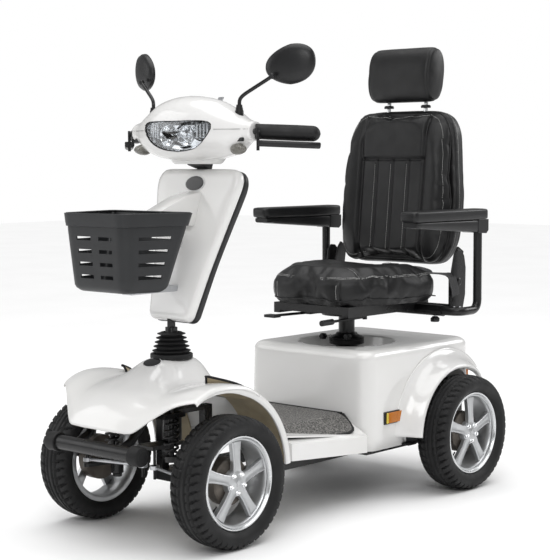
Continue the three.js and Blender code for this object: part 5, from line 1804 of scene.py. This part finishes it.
def arm_tube(hand, out):
    x, y, z = out * 290, 455, 518
    bend = 32
    route = [(out * 160, y, z), (x - out * bend, y, z)]
    for corner, before, after in (((x, y, z), (x - out * bend, y, z), (x, y + bend, z)),
                                  ((x, 548, z), (x, 548 - bend, z), (x, 548, z + bend))):
        for k in range(1, 9):
            t = k / 8
            route.append(tuple(Vector(before) * (1 - t) ** 2 + Vector(corner) * 2 * t * (1 - t)
                               + Vector(after) * t * t))
        if corner[1] == y:
            route.append((x, 548 - bend, z))
    route.append((x, 548, 780))
    made = tube(f"armrest_tube_{hand}", route, 12.6, STEEL, f"arm_{hand}", 28, 1)
    stand_for(made, "black_steel", f"arm_tube_{hand}")


def knob(name, place, body, radius=15, deep=16, axis="Z", out=1):
    """A lobed clamping knob."""
    rings = []
    for r, h in ((0.1, 0), (radius * 0.55, 0), (radius, deep * 0.35), (radius, deep * 0.85),
                 (radius * 0.85, deep), (0.1, deep)):
        ring = []
        for a in radial(48):
            lobe = r * (1 + 0.10 * math.cos(6 * a)) if r > 5 else r
            local = (lobe * math.cos(a), lobe * math.sin(a), h * out)
            if axis == "Y":
                local = (local[0], local[2], local[1])
            if axis == "X":
                local = (local[2], local[0], local[1])
            ring.append(tuple(Vector(local) + Vector(place)))
        rings.append(ring)
    piece(name, *skin(rings), BLACK, body, angle=45)


def seat_hardware():
    refined("seat_frame", STEEL, "seat", 1)
    refined("seat_post", STEEL, "seat_column", 1.5, 30)
    refined("swivel_plate", STEEL, "swivel", 1)
    refined("swivel_lever", BLACK, "swivel_handle", 1.5)
    refined("slide_lever", BLACK, "slide_handle", 1.2)
    for hand, out in SIDES.items():
        knob(f"arm_clamp_{hand}", (out * 205, 455, 500), "seat", 13, 16, "Z", -1)
        turned(f"arm_clamp_screw_{hand}", [(0.1, 498), (4, 498), (4, 506), (0.1, 506)], ZINC, "seat",
                       "Z", (out * 205, 455, 0), 16)
        outline = [(476, 514), (540, 512), (554, 560), (556, 640), (548, 676), (532, 692), (514, 694),
                   (499, 682), (492, 640),
                   (486, 590), (477, 545)]
        x0, x1 = sorted((out * 238.5, out * 243.5))
        plate = piece(f"recliner_plate_{hand}", *skin([[(x, y, z) for y, z in outline] for x in (x0, x1)]),
                      STEEL, "seat", bevel=1.5)
        for k, (y, z, r) in enumerate(((494, 524, 5), (524, 522, 5), (520, 600, 11))):
            head = [(0.1, 243), (r, 243), (r, 246), (r * 0.7, 248), (0.1, 248)]
            bolt = turned(f"recliner_bolt_{hand}_{k}", handed(head, out), ZINC if k < 2 else STEEL, "seat",
                          "X", (0, y, z), 6 if k < 2 else 32, 20)
    collar = [(25.2, 432.5), (51, 432.5), (52, 434), (52, 438), (46, 442), (34, 446), (30, 452), (25.2, 452)]
    turned("post_collar", collar, STEEL, "chassis", "Z", (0, 295, 0), 56, loop=True)
    for k, (x, y, z) in enumerate(((-52, 262, 440), (44, 258, 446))):
        knob(f"post_lock_{k}", (x, y, z), "chassis", 9, 22, "Y", -1)
    buckle_and_belt()


def buckle_and_belt():
    surface = surface_of(bpy.data.objects["cushion_pad"])
    route = snapped([(212, 464, 660), (190, 462, 665), (160, 460, 668), (130, 458, 668), (104, 456, 668)],
                    surface, 2.5)
    start = [(247, 500, 560), (246, 492, 592), (238, 474, 622)]
    path = spline([Vector(p) for p in start] + route, 6)
    rings = []
    for i, p in enumerate(path):
        t = (path[min(i + 1, len(path) - 1)] - path[max(i - 1, 0)]).normalized()
        wide = Vector((0, 1, 0.15)) if p.z > 630 else Vector((0, 1, 0))
        wide = (wide - t * wide.dot(t)).normalized() * 19
        thick = t.cross(wide).normalized() * 0.8
        rings.append([p - wide - thick, p + wide - thick, p + wide + thick, p - wide + thick])
    piece("belt_webbing", *skin(rings), WEBBING, "seat", bevel=0.4)
    end = path[-1]
    tongue = box_piece("belt_tongue", (end.x - 34, end.y - 13, end.z - 1),
                       (end.x + 4, end.y + 13, end.z + 1.6), CHROME, "seat", 0.8)
    buckle = box_piece("belt_buckle", (end.x - 72, end.y - 17, end.z - 3),
                       (end.x - 26, end.y + 17, end.z + 10), BLACK, "seat", 4)
    button = box_piece("belt_button", (end.x - 68, end.y - 12, end.z + 9),
                       (end.x - 54, end.y + 12, end.z + 11.5), SILVER_PRINT, "seat", 1.5)


# ---------------------------------------------------------------- the whole scene
def floor():
    bpy.ops.mesh.primitive_plane_add(size=30)
    plane = bpy.context.object
    plane.name = "floor"
    plane.data.materials.append(floor_paper())


make_camera()
make_studio()
floor()
wheels()
front_shroud()
floor_and_mat()
rear_cover()
cover_details()
basket()
tiller_covers()
head()
mirrors()
grips()
bumper_bar()
bellows()
springs()
running_gear()
seat_cushion()
backrest()
armrests()
seat_hardware()
oval_badge("hood_badge", "chassis", (0, -494, 444), (1, 0, 0), (0, 0.88, 0.47), 30, 20)
